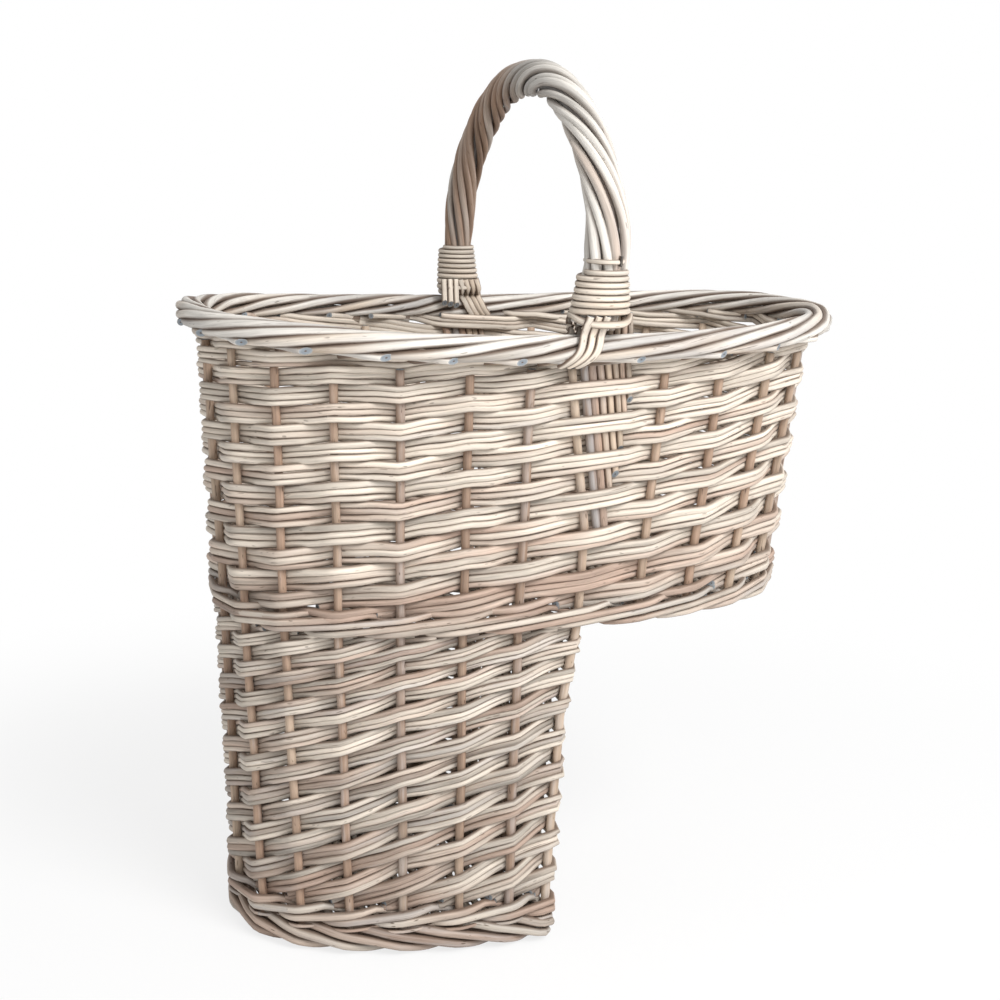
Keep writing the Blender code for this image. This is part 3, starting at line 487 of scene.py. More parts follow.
class StakeRing:
    """The stakes that a band of weaving goes round, in order, counter-clockwise seen from above."""

    near = 1 * MM
    straightness = 0.82
    sharp_turn = 0.16
    soft_turn = 0.5

    def __init__(self, names, upper, corners=()):
        self.count = len(names)
        self.corners = set(corners)
        self.knee = CORNER_KNEE if upper else RISER_KNEE
        points = []
        for name in names:
            axis = stake_axis(name)
            beyond = axis[:, 2] - LEDGE_HEIGHT
            part = axis[beyond > -self.near] if upper else axis[beyond < self.near]
            points.append((part[0], between([self.knee], part[:, 2], part)[0], part[-1]))
        rises = np.diff(np.array(points), axis=1)
        slopes = rises[..., :2] / rises[..., 2:]
        self.slope, self.bend = slopes[:, 0], slopes[:, 1] - slopes[:, 0]
        feet = np.array(points)[:, 0]
        self.foot = feet[:, :2] - self.slope * feet[:, 2:]

    def stake(self, index, height):
        index = index % self.count
        above = np.maximum(height - self.knee, 0)[:, None]
        return self.foot[index] + self.slope[index] * height[:, None] + self.bend[index] * above

    def at(self, place, height, chord=straightness):
        """Points between the stakes at places counted in stakes, and the outward normals there."""
        place = np.asarray(place, float)
        height = np.broadcast_to(np.asarray(height, float), place.shape)
        index = np.floor(place).astype(int)
        share = (place - index)[:, None]
        before, start, end, after = (self.stake(index + step, height) for step in (-1, 0, 1, 2))
        spans = [
            np.linalg.norm(second - first, axis=1, keepdims=True)
            for first, second in ((before, start), (start, end), (end, after))
        ]
        at_start = np.array([number % self.count in self.corners for number in index])[:, None]
        at_end = np.array([(number + 1) % self.count in self.corners for number in index])[:, None]

        def through(first, middle, last, span, following):
            arriving = (middle - first) / span * following
            return (arriving + (last - middle) / following * span) / (span + following)

        straight = (end - start) / spans[1]
        leave = np.where(at_start, straight, through(before, start, end, spans[0], spans[1])) * spans[1]
        arrive = np.where(at_end, straight, through(start, end, after, spans[1], spans[2])) * spans[1]
        square, cube = share ** 2, share ** 3
        curve = (
            (2 * cube - 3 * square + 1) * start + (cube - 2 * square + share) * leave
            + (3 * square - 2 * cube) * end + (cube - square) * arrive
        )
        point = curve * (1 - chord) + (start + (end - start) * share) * chord

        def outward(first, second):
            step = unit(second - first)
            return np.stack([step[:, 1], -step[:, 0]], axis=1)

        here = outward(start, end)
        turn_start = unit(outward(before, start) + here)
        turn_end = unit(here + outward(end, after))
        reach_start = np.where(at_start, self.sharp_turn, self.soft_turn)
        reach_end = np.where(at_end, self.sharp_turn, self.soft_turn)
        normal = np.where(
            share < 0.5,
            turn_start + (here - turn_start) * smooth_step(share / reach_start),
            turn_end + (here - turn_end) * smooth_step((1 - share) / reach_end),
        )
        return point, unit(normal)

    def line(self, place, height, out):
        point, normal = self.at(place, height)
        out = np.broadcast_to(out, len(point))[:, None]
        return np.column_stack([point + normal * out, np.broadcast_to(height, len(point))])

    def facing(self, place, height):
        """The level directions that face away from the basket."""
        normal = self.at(place, height)[1]
        return np.column_stack([normal, np.zeros(len(normal))])


def upper_ring():
    return StakeRing(UPPER_RING, upper=True)


def lower_ring():
    return StakeRing(LOWER_RING, upper=False, corners=[LOWER_RING.index(name) for name in CORNERS])


def rim_rise(x):
    """The rim runs higher at the basket's two ends than at its middle."""
    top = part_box("stake_left_end")[1]
    return (top.z - RIM_HEIGHT) * (x / abs(top.x)) ** 2


# The weave starts to be held out over the handle's liners at the first height, and is held from the second.
HOLD_START = 246 * MM
HOLD_FULL = 262 * MM
# How far past the stake it is held, as shares of a span: at once, and further up.
FIRST_HOLD = 0.26
FURTHER_HOLD = 0.31


def handle_hold(place, height):
    """The weave stays out past the corner stakes, over the rods that line the handle's foot."""
    share = np.clip((height - HOLD_FULL) / (RIM_HEIGHT - HOLD_FULL), 0, 1)
    width = FIRST_HOLD * smooth_step((height - HOLD_START) / (HOLD_FULL - HOLD_START))
    width = width + FURTHER_HOLD * smooth_step(share * 1.5)
    base = np.floor(place)
    within = place - base
    index = base.astype(int) % len(UPPER_RING)
    after = np.clip((within - width) / (1 - width), 0, 1)
    ahead = np.clip(within / (1 - width), 0, 1)
    held = np.where(index == FRONT_CORNER, after, np.where(index == BACK_CORNER - 1, ahead, within))
    return base + held


# How a weaver passes its stakes: the share of its bends that is round, how far it stands off as a share of
# its radius, how much higher it lies outside than inside, and how a group fans out.
ROUND_SHARE = 0.45
STAND_OFF = 0.85
OUTSIDE_LIFT = 0.5 * MM
FAN_SHARE = 0.06
# The top rows are thicker, up to the border.
TOP_ROWS = 0.93
TOP_RISE = 0.04
TOP_GAIN = 0.13
# How much the rods differ.
GROUP_LIFTS = 0.9 * MM
DEPTHS = 0.22 * MM
THICKNESSES = 0.075
THINNEST, THICKEST = 0.84, 1.15
SWAY_UP, SWAY_OUT = 0.3 * MM, 0.2 * MM
GROUP_TONES, ROD_TONES = 0.02, 0.085


def weave_band(rods, ring, groups, levels, heights, overlaps, first_behind, slow, tint_of, upper, seed):
    """A slew: groups of rods in front of one stake and behind the next, climbing as they go round.

    The rods start and end a little beyond the band, hidden by what is above and below it.
    """
    sizes = settings().basket_weave
    random = np.random.default_rng(seed)
    count = ring.count
    bottom, top = heights
    below, above = overlaps
    lift = random.normal(0, GROUP_LIFTS, (count, 3)).cumsum(axis=1)[:, 0]
    for group in range(groups):
        group_tone = random.normal(0, GROUP_TONES)
        for number in range(sizes.group_rods):
            offset = (number - (sizes.group_rods - 1) / 2) / sizes.group_rods
            shift = first_behind - offset - group
            first = (-below - shift) * count / groups
            last = (levels + above - shift) * count / groups
            inside = math.floor(first + 0.5)
            if (inside + group) % 2 == 0:
                inside += 1 if first > inside else -1
            start = inside - random.uniform(0.25, 0.45)
            place = np.arange(start, last, SPAN_STEP)
            share = np.clip(place * groups / count + shift, -below, levels + above) / levels
            climb = share * (1 + slow) - slow * share ** 2
            room = (top - bottom) / levels * (1 + slow - 2 * slow * share) / sizes.group_rods
            height = bottom + (top - bottom) * climb
            thick = np.clip(random.normal(1.0, THICKNESSES), THINNEST, THICKEST)
            radius = room / 2 * sizes.fullness * thick
            radius = radius * (1 + TOP_GAIN * smooth_step((share - TOP_ROWS) / TOP_RISE))
            turn = group + (handle_hold(place, height) if upper else place)
            sharp = 1 - 2 * np.abs((turn + 1) % 2 - 1)
            wave = ROUND_SHARE * np.cos(math.pi * turn) + (1 - ROUND_SHARE) * sharp
            out = wave * (STAKE_RADIUS + STAND_OFF * radius) + random.normal(0, DEPTHS)
            nearest = np.round(place).astype(int) % count
            height = height + lift[nearest] * wave ** 2 * np.clip(share * 6, 0, 1)
            height = height + (number - 1) * room * FAN_SHARE * np.abs(wave) + OUTSIDE_LIFT * wave
            phases = random.uniform(0, 2 * math.pi, 2)
            height = height + SWAY_UP * np.sin(place * 2.1 + phases[0])
            out = out + SWAY_OUT * np.sin(place * 1.7 + phases[1])
            flat, normal = ring.at(place, np.minimum(height, RIM_HEIGHT))
            if upper:
                height = height + rim_rise(flat[:, 0]) * share
            line = np.column_stack([flat + normal * out[:, None], height])
            tint = tint_of(share, group_tone + random.normal(0, ROD_TONES), random)
            facing = np.column_stack([normal, np.zeros(len(normal))])
            rods.add(line, radius, tint, facing=facing, slants=(0.5, 0.5))


def upper_tint(share, tone, random):
    patch = np.sin(share * random.uniform(18, 34) + random.uniform(0, 6))
    warmth = 0.34 - 0.30 * share + random.normal(0, 0.20) + 0.12 * patch + 0.45 * np.exp(-share * 7)
    age = 0.26 + random.normal(0, 0.20) - 0.12 * patch + 0.1 * np.exp(-share * 5)
    return np.column_stack([tone - 0.12 * np.exp(-share * 6), warmth, age])


def lower_tint(share, tone, random):
    patch = np.sin(share * random.uniform(18, 34) + random.uniform(0, 6))
    warmth = 0.24 + random.normal(0, 0.20) + 0.12 * patch + 0.5 * np.exp(-share * 6)
    age = 0.48 + random.normal(0, 0.20) - 0.12 * patch - 0.15 * np.exp(-share * 6)
    return np.column_stack([tone - 0.12 - 0.12 * np.exp(-share * 6), warmth, age])


def thick_tint(place, random):
    patch = np.sin(place * 0.8 + random.uniform(0, 6))
    warmth = 0.55 + 0.25 * patch + random.normal(0, 0.2)
    age = 0.45 - 0.35 * patch + random.normal(0, 0.2)
    tone = random.normal(-0.12, 0.06) - 0.03 * patch
    return np.column_stack([tone, warmth, age])


WALE_GAP = 0.2 * MM


def wale(rods, ring, middle, rod, seed, strands=3, out=0.0, rise_share=1.0):
    """Strands that each pass before all but one stake in turn and behind one, climbing as they pass."""
    random = np.random.default_rng(seed)
    before = strands - 1
    for strand in range(strands):
        place = np.arange(strand - 0.9, strand + ring.count + 1.2, SPAN_STEP)
        turn = (place - strand) % strands
        passing = np.where(turn > before - 0.5, turn - strands, turn)
        inside = np.clip(np.abs((turn - before + strands / 2) % strands - strands / 2), 0, 1)
        climb = np.where(passing > -0.5, (passing + 0.5) / before, 1 - (passing + 1.5))
        height = middle + (climb - 0.5) * rod * rise_share * before
        away = out - np.cos(math.pi * inside) * (STAKE_RADIUS + rod / 2 + WALE_GAP)
        phases = random.uniform(0, 2 * math.pi, 2)
        away = away + 0.25 * MM * np.sin(place * 1.3 + phases[0])
        height = height + 0.3 * MM * np.sin(place * 0.9 + phases[1])
        radius = rod / 2 * (1 + 0.07 * np.sin(place * 0.45 + phases[0]))
        line, facing = ring.line(place, height, away), ring.facing(place, height)
        rods.add(line, radius, thick_tint(place, random), facing=facing, slants=(0.6, -0.6))


class BASKET_OT_stakes(bpy.types.Operator):
    """Makes the upright stakes of both compartments"""

    bl_idname = "basket.stakes"
    bl_label = "Stakes"

    def execute(self, context):
        finish = willow("stake_willow", "straw", "buff", weathered=0.5, knots=0.8)
        random = np.random.default_rng(3)
        for name in LOWER_RING + [name for name in UPPER_RING if name not in LOWER_RING]:
            axis = stake_axis(name)
            heights = np.arange(axis[0, 2], axis[-1, 2], STAKE_STEP)
            line = between(heights, axis[:, 2], axis)
            phases = random.uniform(0, 2 * math.pi, 2)
            line[:, 0] += 0.25 * MM * np.sin(heights * 55 + phases[0])
            line[:, 1] += 0.25 * MM * np.sin(heights * 48 + phases[1])
            rods = Rods(random.integers(1 << 30), THICK_SIDES)
            share = (heights - heights[0]) / (heights[-1] - heights[0])
            radius = STAKE_RADIUS * random.uniform(0.92, 1.03) * (1.03 - 0.08 * share)
            tint = (random.normal(-0.05, 0.06), random.uniform(0.3, 1.0), random.uniform(0.1, 0.8))
            rods.add(line, radius, tint, facing=(1, 0, 0), wobble=0.02, groove=0.0)
            rods.piece(name.replace("stake", "willow_stake"), finish, [name])
        return {"FINISHED"}


class BASKET_OT_upper_siding(bpy.types.Operator):
    """Weaves the upper compartment's siding"""

    bl_idname = "basket.upper_siding"
    bl_label = "Upper siding"

    def execute(self, context):
        sizes = settings().basket_weave
        finish = willow("upper_weaver_willow", "cream", "pink", weathered=0.35)
        rods = Rods(11)
        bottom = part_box("upper_siding")[0].z
        weave_band(
            rods, upper_ring(), sizes.upper_groups, sizes.upper_levels, heights=(bottom, RIM_HEIGHT),
            overlaps=(0.1, 0.55), first_behind=1.416, slow=0.15, tint_of=upper_tint, upper=True, seed=12,
        )
        rods.piece("upper_weave", finish, ["upper_siding"])
        return {"FINISHED"}


class BASKET_OT_lower_siding(bpy.types.Operator):
    """Weaves the lower compartment's siding and its riser wall"""

    bl_idname = "basket.lower_siding"
    bl_label = "Lower siding"

    def execute(self, context):
        sizes = settings().basket_weave
        finish = willow("lower_weaver_willow", "cream", "pink", weathered=0.5)
        rods = Rods(21)
        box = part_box("lower_siding")
        weave_band(
            rods, lower_ring(), sizes.lower_groups, sizes.lower_levels, heights=(box[0].z, box[1].z),
            overlaps=(0.1, 0.1), first_behind=1.2, slow=0.2, tint_of=lower_tint, upper=False, seed=22,
        )
        rods.piece("lower_weave", finish, ["lower_siding"])
        return {"FINISHED"}


class BASKET_OT_wales(bpy.types.Operator):
    """Twines the thick wales at the ledge and round the base"""

    bl_idname = "basket.wales"
    bl_label = "Wales"

    def execute(self, context):
        sizes = settings().basket_wales
        finish = willow("wale_willow", "cream", "pink", weathered=0.6, knots=0.8)
        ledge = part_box("ledge_wale")
        rods = Rods(31, THICK_SIDES)
        wale(rods, upper_ring(), (ledge[0].z + ledge[1].z) / 2, sizes.ledge_rod, 32, strands=4)
        rods.piece("ledge_waling", finish, ["ledge_wale"])

        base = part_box("base_wale")
        rods = Rods(33, THICK_SIDES)
        ring = lower_ring()
        middle = (base[0].z + base[1].z) / 2
        wale(rods, ring, middle + 1.2 * MM, sizes.base_rod, 34)
        low = base[0].z + 0.4 * MM
        wale(rods, ring, low, sizes.pairing_rod, 35, strands=2, out=1.8 * MM, rise_share=1.1)
        rods.piece("base_waling", finish, ["base_wale"])
        return {"FINISHED"}


class BASKET_OT_foot(bpy.types.Operator):
    """Plaits the foot border that the basket stands on"""

    bl_idname = "basket.foot"
    bl_label = "Foot border"
    into_wale = 1.5 * MM
    # Rods round the inside of the foot, given as rise and offset in millimetres. Their very dark tint is
    # painted shade inside the foot, seen through the plait.
    inner_rods = (3.2, -5.0), (8.6, -4.6), (13.2, -4.0)
    inner_radius = 3.0 * MM

    def execute(self, context):
        sizes = settings().basket_wales
        finish = willow("foot_willow", "cream", "pink", weathered=0.55, knots=0.8)
        rods = Rods(41, BORDER_SIDES)
        ring = lower_ring()
        random = np.random.default_rng(42)
        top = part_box("foot_border")[1].z
        radius = sizes.foot_rod / 2
        for stake in range(ring.count):
            travel = np.arange(-0.1, 2.75, SPAN_STEP)
            share = (travel - travel[0]) / (travel[-1] - travel[0])
            thick = radius * (1 - 0.12 * share) * random.uniform(0.94, 1.04)
            sink = np.interp(share, (0, 0.15, 0.85, 1), (0.0, 0.05, 0.93, 1.0))
            height = (top + self.into_wale) * (1 - sink) + thick * sink
            out = np.interp(share, (0, 0.14, 0.3, 0.72, 0.9, 1), (-4, 2.5, 5.2, 5.2, 0, -5)) * MM
            place = stake + travel + random.normal(0, 0.03)
            line = ring.line(place, np.maximum(height, thick * 1.06), out)
            tint = (random.normal(-0.22, 0.07), random.uniform(0.2, 1.0), random.uniform(0.2, 0.9))
            rods.add(line, thick, tint, facing=ring.facing(place, height), slants=(0.5, 0.5))
        around = np.arange(0, ring.count + 0.3, SPAN_STEP)
        for rise, out in self.inner_rods:
            line = ring.line(around, np.full(len(around), rise * MM), out * MM)
            # Painted shade: a very dark tint for the rods inside the foot.
            rods.add(line, self.inner_radius, (-0.5, 0.9, 0.2))
        rods.piece("foot_plait", finish, ["foot_border"])
        return {"FINISHED"}


FLOOR_PITCH = 1.04
FLOOR_STEP = 3.2 * MM


def level_line(start, end, y, z):
    """A straight line along X."""
    reach = np.arange(start, end, STAKE_STEP)
    return np.column_stack([reach, np.full(len(reach), y), np.full(len(reach), z)])


def floor_weave(rods, outline, sticks, low, high, rod, random):
    """Weavers laid across a floor, over one stick and under the next, inside an outline."""
    middle = (low + high) / 2
    spacing = sticks[1] - sticks[0]
    left, right = outline[:, 0].min() + rod, outline[:, 0].max() - rod / 2
    count = int((right - left) / (rod * FLOOR_PITCH))
    for number, x in enumerate(np.linspace(left, right, count)):
        sides = []
        for first, second in zip(outline, np.roll(outline, -1, axis=0)):
            if (first[0] - x) * (second[0] - x) < 0:
                share = (x - first[0]) / (second[0] - first[0])
                sides.append(first[1] + (second[1] - first[1]) * share)
        if len(sides) < 2:
            continue
        low_y, high_y = min(sides), max(sides)
        if high_y - low_y < 4 * rod:
            continue
        y = np.arange(low_y, high_y, FLOOR_STEP)
        wave = np.cos(math.pi * (y - sticks[0]) / spacing + math.pi * number)
        line = np.column_stack([np.full(len(y), x), y, middle + wave * (high - low - rod) / 2])
        line[:, 0] += 0.3 * MM * np.sin(y * 70 + random.uniform(0, 6))
        tint = (random.normal(-0.06, 0.05), random.uniform(0.2, 0.8), random.uniform(0.2, 0.8))
        rods.add(line, rod / 2 * random.uniform(1.34, 1.42), tint)


class BASKET_OT_floors(bpy.types.Operator):
    """Weaves the floor of each compartment over its sticks"""

    bl_idname = "basket.floors"
    bl_label = "Floors"
    stick_room = 15 * MM
    end_gap = 4 * MM
    ledge_stick_radius = 2.4 * MM

    def execute(self, context):
        sizes = settings().basket_wales
        pale = willow("floor_willow", "cream", "straw", weathered=0.6)
        stick_finish = willow("stick_willow", "straw", "buff", weathered=0.5)
        random = np.random.default_rng(51)
        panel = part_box("base_panel")
        ring = lower_ring()
        places = np.arange(0, ring.count, SPAN_STEP)
        outline = ring.line(places, panel[0].z, -6.5 * MM)[:, :2]
        sticks = [sum(corner.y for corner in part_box(f"base_stick_{number}")) / 2 for number in STICK_NUMBERS]
        rods = Rods(52)
        floor_weave(rods, outline, sticks, panel[0].z, panel[1].z, sizes.floor_rod, random)
        rods.piece("base_weave", pale, ["base_panel"])
        for number in STICK_NUMBERS:
            name = f"base_stick_{number}"
            low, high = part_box(name)
            middle = (low + high) / 2
            radius = (high.z - low.z) / 2
            line = level_line(low.x, high.x, middle.y, middle.z)
            stick = Rods(60 + number, THICK_SIDES)
            stick.add(line, radius, (0.0, 0.6, 0.3), slants=(0.3, 0.3))
            stick.piece(f"willow_{name}", stick_finish, [name])

        low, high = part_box("ledge_floor")
        ring = upper_ring()
        places = np.linspace(FRONT_CORNER, BACK_CORNER, (BACK_CORNER - FRONT_CORNER) * RINGS_PER_SPAN + 1)
        outline = ring.line(places, low.z, -2.5 * MM)[:, :2]
        rods = Rods(54)
        floor_weave(rods, outline, sticks, low.z, high.z, sizes.floor_rod, random)
        for y in sticks:
            end = outline[np.abs(outline[:, 1] - y) < self.stick_room, 0].max() - self.end_gap
            line = level_line(low.x, end, y, (low.z + high.z) / 2)
            rods.add(line, self.ledge_stick_radius, (-0.02, 0.7, 0.4))
        rods.piece("ledge_weave", pale, ["ledge_floor"])
        return {"FINISHED"}


# The border's top above the rim, and the middle of its roll in from its outer face.
BORDER_TOP = 18.2 * MM
BORDER_INSET = 12 * MM


class BorderRoll:
    """The oval section of the rolled border, walked by the length of its edge from its outer lower side."""

    start = math.radians(-62)

    def __init__(self, half_width, half_height):
        turn = np.linspace(0, 2 * math.pi, 361) + self.start
        self.points = np.column_stack([half_width * np.cos(turn), half_height * np.sin(turn)])
        reach = reach_along(self.points)
        self.share = reach / reach[-1]

    def at(self, share):
        return between(share, self.share, self.points)


class BASKET_OT_border(bpy.types.Operator):
    """Rolls the stake ends over into the top border"""

    bl_idname = "basket.border"
    bl_label = "Rolled border"
    # Counted in stakes: where a turned-down stake has reached the roll, and where its tail ends.
    emerge = 0.66
    tip = 7.74
    tail_out = 5.4 * MM
    tail_down = 1.2 * MM
    # The rods lie closer at the basket's two ends.
    end_reach = 10.5 * MM
    end_squeeze = 0.36

    def execute(self, context):
        sizes = settings().basket_border
        finish = willow("border_willow", "white", "straw", weathered=0.6, relief=0.35, groove_shade=0.9)
        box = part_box("top_border")
        ring = upper_ring()
        half_width, half_height = sizes.half_width, sizes.half_height
        roll = BorderRoll(half_width - sizes.rod / 2, half_height - sizes.rod / 2)
        middle = RIM_HEIGHT + BORDER_TOP - half_height
        corner = ring.stake(np.array([FRONT_CORNER]), np.array([RIM_HEIGHT]))
        out = box[1].y - abs(corner[0, 1]) - BORDER_INSET
        stem = np.array([-out + 1.5 * MM, -half_height])
        free = box[1].x - self.end_reach
        rods = Rods(71, BORDER_SIDES)
        random = np.random.default_rng(72)
        emerge, tip = self.emerge, self.tip
        for stake in range(ring.count):
            travel = np.arange(0.1, tip + random.normal(0, 0.06), 0.1)
            tail_share = sizes.tail / sizes.rod
            thick = np.interp(travel, (0, 1.2, 4.0, 6.2, tip), (0.94, 1.04, 1.0, 0.84, tail_share))
            radius = sizes.rod / 2 * thick * random.uniform(0.93, 1.07)
            share = np.interp(travel, (0, emerge, 4.1, tip - 0.2, tip), (-0.10, 0.0, 0.46, 0.985, 1.0))
            share = smoothed(share + 0.008 * np.sin(travel * 1.5 + random.uniform(0, 6)))
            start = smooth_step(1 - travel / emerge)[:, None]
            section = roll.at(np.mod(share, 1.0)) * (1 - start) + start * stem
            tail = smooth_step((travel - tip + 0.55) / 0.5)
            section[:, 0] += tail * self.tail_out
            section[:, 1] -= tail * self.tail_down
            phases = random.uniform(0, 2 * math.pi, 2)
            body = np.clip(1 - tail, 0, 1) * MM
            section[:, 0] += 0.35 * body * np.sin(travel * 1.9 + phases[0])
            section[:, 1] += 0.28 * body * np.sin(travel * 1.7 + phases[1])
            place = stake + travel
            flat, normal = ring.at(place, np.full(len(place), RIM_HEIGHT), chord=0.25)
            flat = flat + normal * (out + section[:, :1])
            height = middle + section[:, 1] + rim_rise(flat[:, 0])
            beyond = np.maximum(np.abs(flat[:, 0]) - free, 0) * self.end_squeeze
            flat[:, 0] -= np.copysign(beyond, flat[:, 0])
            line = np.column_stack([flat, height])
            facing = np.column_stack([normal * section[:, :1], section[:, 1]])
            outward = np.column_stack([normal, np.full(len(normal), -0.3)])
            facing = facing * (1 - tail[:, None]) + outward * tail[:, None] * half_width
            tone = random.normal(0.0, 0.06) - 0.10 * smooth_step(1 - travel / 2.2)
            warmth = random.uniform(0.0, 0.4) + 0.45 * smooth_step(1 - travel / 2.0)
            warmth = warmth + 0.3 * smooth_step((travel - 4.4) / 2)
            age = random.uniform(0.1, 0.8) + 0.25 * np.sin(travel * 1.6 + phases[0])
            tint = np.column_stack([tone, warmth, age])
            rods.add(line, radius, tint, facing=facing, slants=(0.0, -1.5))
        rods.piece("rolled_border", finish, ["top_border"])
        return {"FINISHED"}


class Hoop:
    """The handle's centre line, fitted to the frame's bow and to the rods that line its feet."""

    leg_radius = 4.8 * MM
    front_radius = 6.9 * MM
    back_radius = 5.2 * MM
    arch_rise = 114.4 * MM
    exponent = 2.15
    sway = 8.5 * MM
    liner_width = 13.44 * MM
    liner_radius = 2.4 * MM
    liner_gap = 1.8 * MM
    step = 2.2 * MM
    sway_shares = (0.0, 1.0, 0.6, 0.1, 0.0)
    turn_shares = (0.0, 0.06, 0.16, 0.285, 0.44, 0.615, 0.785, 0.925, 1.0)

    def __init__(self):
        low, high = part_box("handle_bow")
        both_radii = self.front_radius + self.back_radius
        self.foot = low.z
        self.apex = high.z - both_radii / 2
        self.half_span = (high.y - low.y - both_radii) / 2
        self.spring = self.apex - self.arch_rise
        liners = [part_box("liner_front"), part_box("liner_back")]
        self.feet_x = [low.x - self.liner_gap - self.leg_radius for low, high in liners]
        self.leans = [(high.x - low.x - self.liner_width) / (RIM_HEIGHT - low.z) for low, high in liners]
        low, high = liners[1]
        spread = smooth_step((high.z - RIM_HEIGHT) / (self.spring - RIM_HEIGHT))
        self.rim_reach = (high.y - self.liner_radius - spread * self.half_span) / (1 - spread)
        self.slope = (self.rim_reach - low.y - self.liner_radius) / (RIM_HEIGHT - low.z)

    def leg(self, height):
        """How far a leg stands from the middle, inside the wall and above it."""
        wall = self.rim_reach + self.slope * np.minimum(height - RIM_HEIGHT, 0)
        share = smooth_step((height - RIM_HEIGHT) / (self.spring - RIM_HEIGHT))
        return wall + (self.half_span - wall) * share

    def lean(self, y, height):
        """The hoop sways a little out of its plane above the rim."""
        rise = np.clip((height - RIM_HEIGHT) / (self.apex - RIM_HEIGHT), 0, 1)
        place = (np.copysign(1 - rise, y) + 1) / 2
        shares = np.array(self.sway_shares)
        parts = len(shares) - 1
        index = np.clip((place * parts).astype(int), 0, parts - 1)
        found = shares[index] + (shares[index + 1] - shares[index]) * smooth_step(place * parts - index)
        front, back = self.feet_x
        below = np.maximum(RIM_HEIGHT - height, 0)
        return front + (back - front) * place + self.sway * found + below * np.where(y < 0, *self.leans)

    def line(self, start):
        """The whole centre line, from a height on the front leg to the same height on the back one."""
        legs = np.linspace(start, self.spring, 16)[:-1]
        turn = np.linspace(0, math.pi / 2, 45)
        reach = self.half_span * np.cos(turn) ** (2 / self.exponent)
        reach[-1] = 0.0
        y = np.concatenate([-self.leg(legs), -reach])
        z = np.concatenate([legs, self.spring + self.arch_rise * np.sin(turn) ** (2 / self.exponent)])
        y = np.concatenate([y, -y[-2::-1]])
        z = np.concatenate([z, z[-2::-1]])
        return even(np.column_stack([self.lean(y, z), y, z]), self.step)

    def bow_radius(self, share):
        return self.front_radius + (self.back_radius - self.front_radius) * share

    def turned(self, share):
        """How much of its turning a strand has done. It runs nearly straight at the feet."""
        places = np.linspace(0, 1, len(self.turn_shares))
        edges = np.clip(share[:, None] + np.linspace(-0.06, 0.06, 9), 0, 1)
        return np.interp(edges, places, self.turn_shares).mean(axis=1)


class BASKET_OT_handle(bpy.types.Operator):
    """Ropes the handle's rods round its bow"""

    bl_idname = "basket.handle"
    bl_label = "Roped handle"
    leg_rod_radius = 2.45 * MM
    bow_start = 26 * MM
    strand_gap = 0.25 * MM
    bound_reach = 30 * MM
    # The roped rods spread sideways towards the front foot.
    flare = 0.24
    flare_reach = 95 * MM

    def execute(self, context):
        sizes = settings().basket_handle
        finish = willow("handle_willow", "white", "buff", weathered=0.6, groove_shade=0.8)
        dark = willow("bow_willow", "grey", "buff", weathered=0.8, groove_shade=0.3)
        hoop = Hoop()
        whole = hoop.line(hoop.foot)
        bow = Rods(81, BORDER_SIDES)
        for offset, lift, tint in ((-2.4, 0, (-0.10, 0.5, 0.8)), (2.4, 3.0, (-0.02, 0.9, 0.3))):
            beside = whole[whole[:, 2] > hoop.foot + lift * MM] + (offset * MM, 0, 0)
            bow.add(beside, self.leg_rod_radius, tint, facing=(0, 0, 1), groove=0.0, slants=(0.8, -0.8))
        arch = whole[whole[:, 2] > RIM_HEIGHT + self.bow_start]
        share = np.linspace(0, 1, len(arch))
        bow.add(arch, hoop.bow_radius(share), (-0.16, 0.5, 0.8), facing=(1, 0, 0), groove=0.0)
        bow.piece("willow_bow", dark, ["handle_bow"])

        line = hoop.line(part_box("handle_rod_9")[0].z + 1.5 * MM)
        reach = reach_along(line)
        share = reach / reach[-1]
        ahead = unit(np.gradient(line, axis=0))
        outward = unit(np.cross(ahead, (1.0, 0, 0)))
        side = np.cross(outward, ahead)
        strand = sizes.front_strand + (sizes.back_strand - sizes.front_strand) * share
        bound = np.minimum(reach, reach[-1] - reach)
        squeeze = 0.90 + 0.10 * smooth_step((bound - self.bound_reach) / (16 * MM))
        flare = 1 + self.flare * smooth_step(1 - reach / self.flare_reach)
        roped = (hoop.bow_radius(share) + strand / 2 + self.strand_gap) * squeeze
        brown = smooth_step((share - 0.3) * 4)
        crown = np.exp(-((share - 0.47) / 0.1) ** 2)
        random = np.random.default_rng(82)
        count = len([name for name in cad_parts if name.startswith("handle_rod_")])
        for number in range(count):
            wander = 0.08 * np.sin(reach * 26 + random.uniform(0, 6))
            wander = wander + 0.05 * np.sin(reach * 61 + random.uniform(0, 6))
            turn = 2 * math.pi * (number / count - sizes.turns * hoop.turned(share))
            turn = turn + random.normal(0, 0.05) + wander * smooth_step(bound / self.bound_reach)
            away = (np.cos(turn) * flare)[:, None] * side + np.sin(turn)[:, None] * outward
            spread = roped + 0.2 * MM * np.sin(reach * 33 + random.uniform(0, 6)) - 0.2 * MM
            thick = strand / 2 * random.uniform(0.86, 1.03)
            taper = flare ** 0.5 + 0.06 * np.sin(reach * 7 + random.uniform(0, 6))
            made = Rods(90 + number, THICK_SIDES)
            warmth = random.uniform(-0.1, 0.45) + 0.8 * smooth_step((share - 0.40) * 4)
            age = random.uniform(0.0, 0.5) + 0.35 * crown
            tone = random.normal(-0.02, 0.05) - 0.12 * brown - 0.10 * crown
            tint = np.column_stack([tone, warmth, age])
            made.add(line + away * spread[:, None], thick * taper, tint, facing=away, groove=0.75)
            name = f"handle_rod_{number + 1}"
            made.piece(f"willow_{name}", finish, [name])
        return {"FINISHED"}


